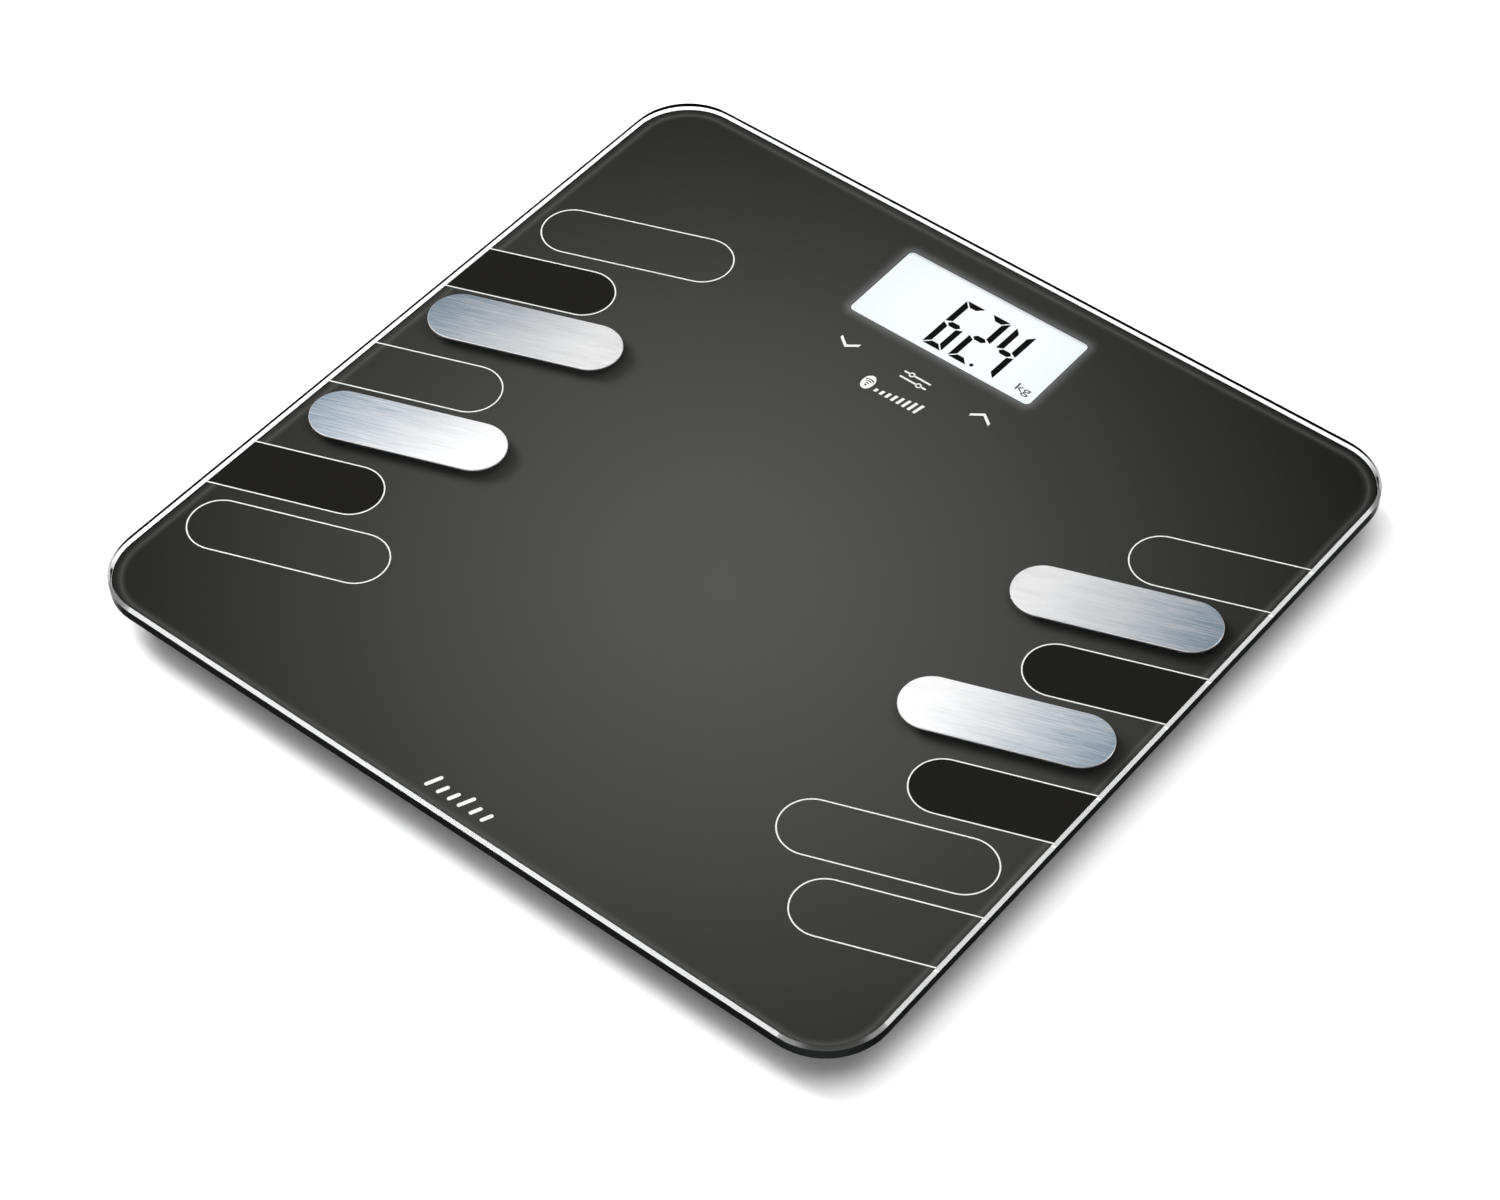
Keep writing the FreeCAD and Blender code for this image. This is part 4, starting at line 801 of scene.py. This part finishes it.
lead_jacket = moulded("lead_jacket_finish", (0.018, 0.018, 0.019), 0.35, 1.2 * MM)
dress(lead_jacket, *corners("load_cell_lead"))
thin_jacket = moulded("thin_jacket_finish", (0.42, 0.02, 0.018), 0.35, 1.2 * MM)
dress(thin_jacket, "electrode_leads_left", "electrode_leads_right")
dress(moulded("chip_black_finish", (0.014, 0.014, 0.014), 0.5), "control_chip", "unit_switch")
dress(moulded("strip_rubber_finish", (0.09, 0.09, 0.10), 0.7), "contact_strip")
dress(moulded("gauge_film_finish", (0.72, 0.70, 0.64), 0.35), "strain_gauges")


# %% Foam rubber and foam tape
def foamed(name, colour, pore, depth):
    finish = Finish(name)
    place = finish.position()
    cells = {"Vector": place, "Scale": 1.0 / pore}
    pores = finish.node("ShaderNodeTexVoronoi", {}, cells, "Distance")
    cloudy = finish.noise(place, 4 * MM)
    dark = tuple(channel * 0.45 for channel in colour)
    finish.set(Base_Color=finish.mix((pores * 1.4 + cloudy * 0.4).clamped(), dark, colour))
    finish.set(Roughness=0.78 + (cloudy - 0.5) * 0.2)
    finish.set(Normal=finish.bump(pores.below(0.5), depth, 0.6))
    return finish


pad_rubber = foamed("pad_rubber_finish", (0.075, 0.075, 0.078), 0.55 * MM, 0.12 * MM)
dress(pad_rubber, *corners("foot_pad"))
foam_tape = foamed("foam_tape_finish", (0.66, 0.66, 0.64), 0.3 * MM, 0.05 * MM)
dress(foam_tape, "foot_tapes", "housing_tape")

# %% [markdown]
# ## Plated metal
# The load cells, screws, springs and contacts are plated. Zinc and nickel plating show soft cloudy
# patches and fine rolling marks rather than a mirror, so both feed the roughness and a slight bump.


# %% Plated metal recipe
def plated(name, colour, roughness=0.32, grain=0.8 * MM):
    finish = Finish(name, Metallic=1.0)
    place = finish.position()
    x, y, z = finish.parts(place)
    rolled = finish.noise(finish.vector(x, y / 12.0, z), grain, detail=4.0, roughness=0.6)
    clouds = finish.noise(place, 7 * MM, detail=3.0)
    dull = tuple(channel * 0.72 for channel in colour)
    finish.set(Base_Color=finish.mix(clouds * 0.5 + rolled * 0.5, dull, colour))
    finish.set(Roughness=roughness + (clouds - 0.5) * 0.22 + (rolled - 0.5) * 0.1)
    finish.set(Normal=finish.bump(rolled, 0.01 * MM, 0.4))
    return finish


dress(plated("cell_steel_finish", (0.72, 0.73, 0.74)), *corners("load_cell"))
screw_steel = plated("screw_steel_finish", (0.68, 0.68, 0.69), 0.28, 0.4 * MM)
dress(screw_steel, "cover_screws", "board_screws")
dress(plated("spring_steel_finish", (0.82, 0.82, 0.82), 0.2, 0.4 * MM), "battery_springs")
dress(plated("tinned_brass_finish", (0.80, 0.77, 0.66), 0.3), "battery_contacts", "lead_eyelets")
dress(plated("stud_steel_finish", (0.72, 0.72, 0.73), 0.3), "electrode_studs")
dress(plated("radio_shield_finish", (0.78, 0.78, 0.76), 0.25), "wireless_module")
jacket = plated("battery_jacket_finish", (0.30, 0.33, 0.38), 0.34)
dress(jacket, "battery_1", "battery_2", "battery_3")

# %% [markdown]
# ## Boards and bonds
# The boards wear green solder mask, glossy over a faint weave of the glass cloth underneath. The
# adhesive under the electrodes is a clear grey film.

# %% Solder mask and clear bond
board = Finish("circuit_board_finish", Coat_Weight=0.4, Coat_Roughness=0.15)
x, y, _ = board.parts(board.position())
WEAVE = 2 * math.pi / (0.7 * MM)
weave = (x * WEAVE).math("SINE", x * WEAVE) * (y * WEAVE).math("SINE", y * WEAVE)
greens = (0.012, 0.075, 0.028), (0.020, 0.115, 0.042)
board.set(Base_Color=board.mix(weave * 0.5 + 0.5, *greens))
board.set(Roughness=0.38 + weave * 0.05, Normal=board.bump(weave, 0.01 * MM, 0.3))
dress(board, "main_board", "touch_key_board")
dress(moulded("clear_bond_finish", (0.10, 0.10, 0.10), 0.25), "electrode_bonds")

# %% [markdown]
# ## Rating label
# The underside carries a small silver label, as every appliance does. It has no words: rows of
# short grey bars stand for its print.

# %% The label on the bottom cover
LABEL_WIDTH = 26 * MM
LABEL_DEPTH = 13 * MM
LABEL_CORNER = 1.2 * MM
LABEL_CENTRE = (-34 * MM, 118 * MM)
LABEL_THICK = 0.06 * MM
LABEL_SINK = 0.01 * MM
label_level = cover_low.z - LABEL_THICK + LABEL_SINK
label_finish = Finish("label_foil", Metallic=0.6)
grain = label_finish.noise(label_finish.position(), 1.5 * MM)
label_finish.set(Base_Color=label_finish.mix(grain, (0.58, 0.58, 0.58), (0.72, 0.72, 0.72)))
label_finish.set(Roughness=0.38 + grain * 0.12)
foil = rectangle(LABEL_WIDTH, LABEL_DEPTH)
bmesh.ops.bevel(foil, geom=foil.verts[:], offset=LABEL_CORNER, segments=6, **ROUNDING)
foil = thickened(moved(foil, LABEL_CENTRE), label_level, LABEL_THICK)
finished(foil, "rating_label", label_finish)

# %% Rows of bars in place of words
ROW_COUNT = 5
ROW_PITCH = 2.1 * MM
ROW_THICK = 0.8 * MM
ROW_START = 1.8 * MM
ROW_LENGTHS = ((9.0, 5.5, 4.0), (6.0, 12.0), (4.5, 3.5, 8.0), (14.0, 3.0), (7.0, 6.0))
WORD_GAP = 1.2 * MM
rows = []
for row in range(ROW_COUNT):
    left = LABEL_CENTRE[0] - LABEL_WIDTH / 2 + ROW_START
    height = LABEL_CENTRE[1] + ((ROW_COUNT - 1) / 2 - row) * ROW_PITCH
    for word in ROW_LENGTHS[row]:
        length = word * MM
        rows.append(moved(rectangle(length, ROW_THICK), (left + length / 2, height)))
        left += length + WORD_GAP
rows = thickened(joined(rows), label_level - LABEL_SINK, LABEL_SINK)
finished(rows, "label_rows", unit_ink)
print("label of", ROW_COUNT, "rows")

# %% [markdown]
# ## Studio
# The floor is white and fills the frame. A large soft box hangs overhead and a smaller, brighter
# one on the left gives the electrodes their shadows on the print. Two soft strips stand just where the
# near bevels mirror them, so the rim shines along its straights and goes dark round the front
# corner. A weak sky fills the shadows, with two dark patches that keep the glass free of haze.

# %% Floor
floor_finish = Finish("floor_white", Base_Color=(0.93, 0.93, 0.93), Roughness=0.9)
FLOOR_SIZE = 12.0
floor_mesh = rectangle(FLOOR_SIZE, FLOOR_SIZE)
floor_data = bpy.data.meshes.new("floor")
floor_mesh.to_mesh(floor_data)
floor_mesh.free()
floor = bpy.data.objects.new("floor", floor_data)
floor_data.materials.append(floor_finish.material)
bpy.context.scene.collection.objects.link(floor)


# %% Soft boxes
PLATE_MIDDLE = Vector((0, 0, GLASS_TOP))


def softbox(name, direction, distance, width, height, radiance, target=PLATE_MIDDLE):
    """A rectangular lamp that faces its target. Radiance is what a mirror would show of it."""
    lamp = bpy.data.lights.new(name, "AREA")
    lamp.shape = "RECTANGLE"
    lamp.size = width
    lamp.size_y = height
    lamp.energy = 4.0 * width * height * radiance
    holder = bpy.data.objects.new(name, lamp)
    toward = Vector(direction).normalized()
    holder.location = target + toward * distance
    holder.rotation_euler = toward.to_track_quat("Z", "Y").to_euler()
    bpy.context.scene.collection.objects.link(holder)


CAMERA_PLACE = Vector((0.53562, -0.64717, 0.93815))
STRIP_AWAY = 2.0
STRIP_LENGTH = 0.95
STRIP_WIDTH = 0.40


def bevel_strip(name, outward, radiance):
    """A strip lamp that a near bevel mirrors into the camera along its whole length."""
    outward = Vector(outward)
    slope = (outward + Vector((0, 0, 1))).normalized()
    edge = Vector((outward.x * glass_high.x, outward.y * glass_high.y, GLASS_TOP))
    sight = (CAMERA_PLACE - edge).normalized()
    mirrored = 2.0 * sight.dot(slope) * slope - sight
    softbox(name, mirrored, STRIP_AWAY, STRIP_LENGTH, STRIP_WIDTH, radiance, target=edge)


softbox("overhead_box", (0.05, -0.05, 1.0), 1.6, 1.5, 1.5, 3.2)
softbox("key_box", (-0.62, -0.05, 0.78), 1.8, 0.7, 0.7, 13.0)
bevel_strip("front_strip", (0, -1, 0), 1.6)
bevel_strip("side_strip", (1, 0, 0), 1.2)

# %% Sky
world = bpy.data.worlds.new("studio")
world.use_nodes = True
SKY_LIGHT = 0.62
SKY_DARK = 0.06
DARK_PATCHES = (
    (Vector((-CAMERA_PLACE.x, -CAMERA_PLACE.y, CAMERA_PLACE.z)).normalized(), 0.84, 0.93),
    (Vector((0.634, -0.530, 0.563)).normalized(), 0.72, 0.90),
)
sky = world.node_tree
look = sky.nodes.new("ShaderNodeTexCoord")
strength = sky.nodes["Background"].inputs["Strength"]
brighter = None
for direction, edge, middle in DARK_PATCHES:
    toward = sky.nodes.new("ShaderNodeVectorMath")
    toward.operation = "DOT_PRODUCT"
    toward.inputs[1].default_value = direction
    sky.links.new(look.outputs["Generated"], toward.inputs[0])
    shade = sky.nodes.new("ShaderNodeMapRange")
    shade.interpolation_type = "SMOOTHSTEP"
    shade.inputs["From Min"].default_value = edge
    shade.inputs["From Max"].default_value = middle
    shade.inputs["To Min"].default_value = SKY_LIGHT
    shade.inputs["To Max"].default_value = SKY_DARK
    sky.links.new(toward.outputs["Value"], shade.inputs["Value"])
    dimmer = sky.nodes.new("ShaderNodeMath")
    dimmer.operation = "MINIMUM"
    dimmer.inputs[1].default_value = SKY_LIGHT
    sky.links.new(shade.outputs["Result"], dimmer.inputs[0])
    if brighter:
        sky.links.new(brighter, dimmer.inputs[1])
    brighter = dimmer.outputs["Value"]
sky.links.new(brighter, strength)
sky.nodes["Background"].inputs["Color"].default_value = (1.0, 1.0, 1.0, 1.0)
scene = bpy.context.scene
scene.world = world
scene.view_settings.view_transform = "Standard"
scene.cycles.use_denoising = True
scene.cycles.caustics_refractive = False
scene.cycles.caustics_reflective = False

# %% [markdown]
# ## Camera
# The camera looks down on the plate from beyond its front right corner, from a little over a
# metre. Its place and its three axes were found from the plate's own perspective.

# %% Camera
CAMERA_RIGHT = Vector((0.77880, 0.62715, -0.01214))
CAMERA_UP = Vector((-0.46444, 0.58954, 0.66086))
CAMERA_BACK = CAMERA_RIGHT.cross(CAMERA_UP)
lens = bpy.data.cameras.new("camera")
LENS_LENGTH = 91.417
lens.sensor_width = 36.0
lens.lens = LENS_LENGTH
lens.clip_start = 0.05
camera = bpy.data.objects.new("camera", lens)
axes = Matrix((CAMERA_RIGHT, CAMERA_UP, CAMERA_BACK)).transposed().to_4x4()
camera.matrix_world = Matrix.Translation(CAMERA_PLACE) @ axes
scene.collection.objects.link(camera)
scene.camera = camera
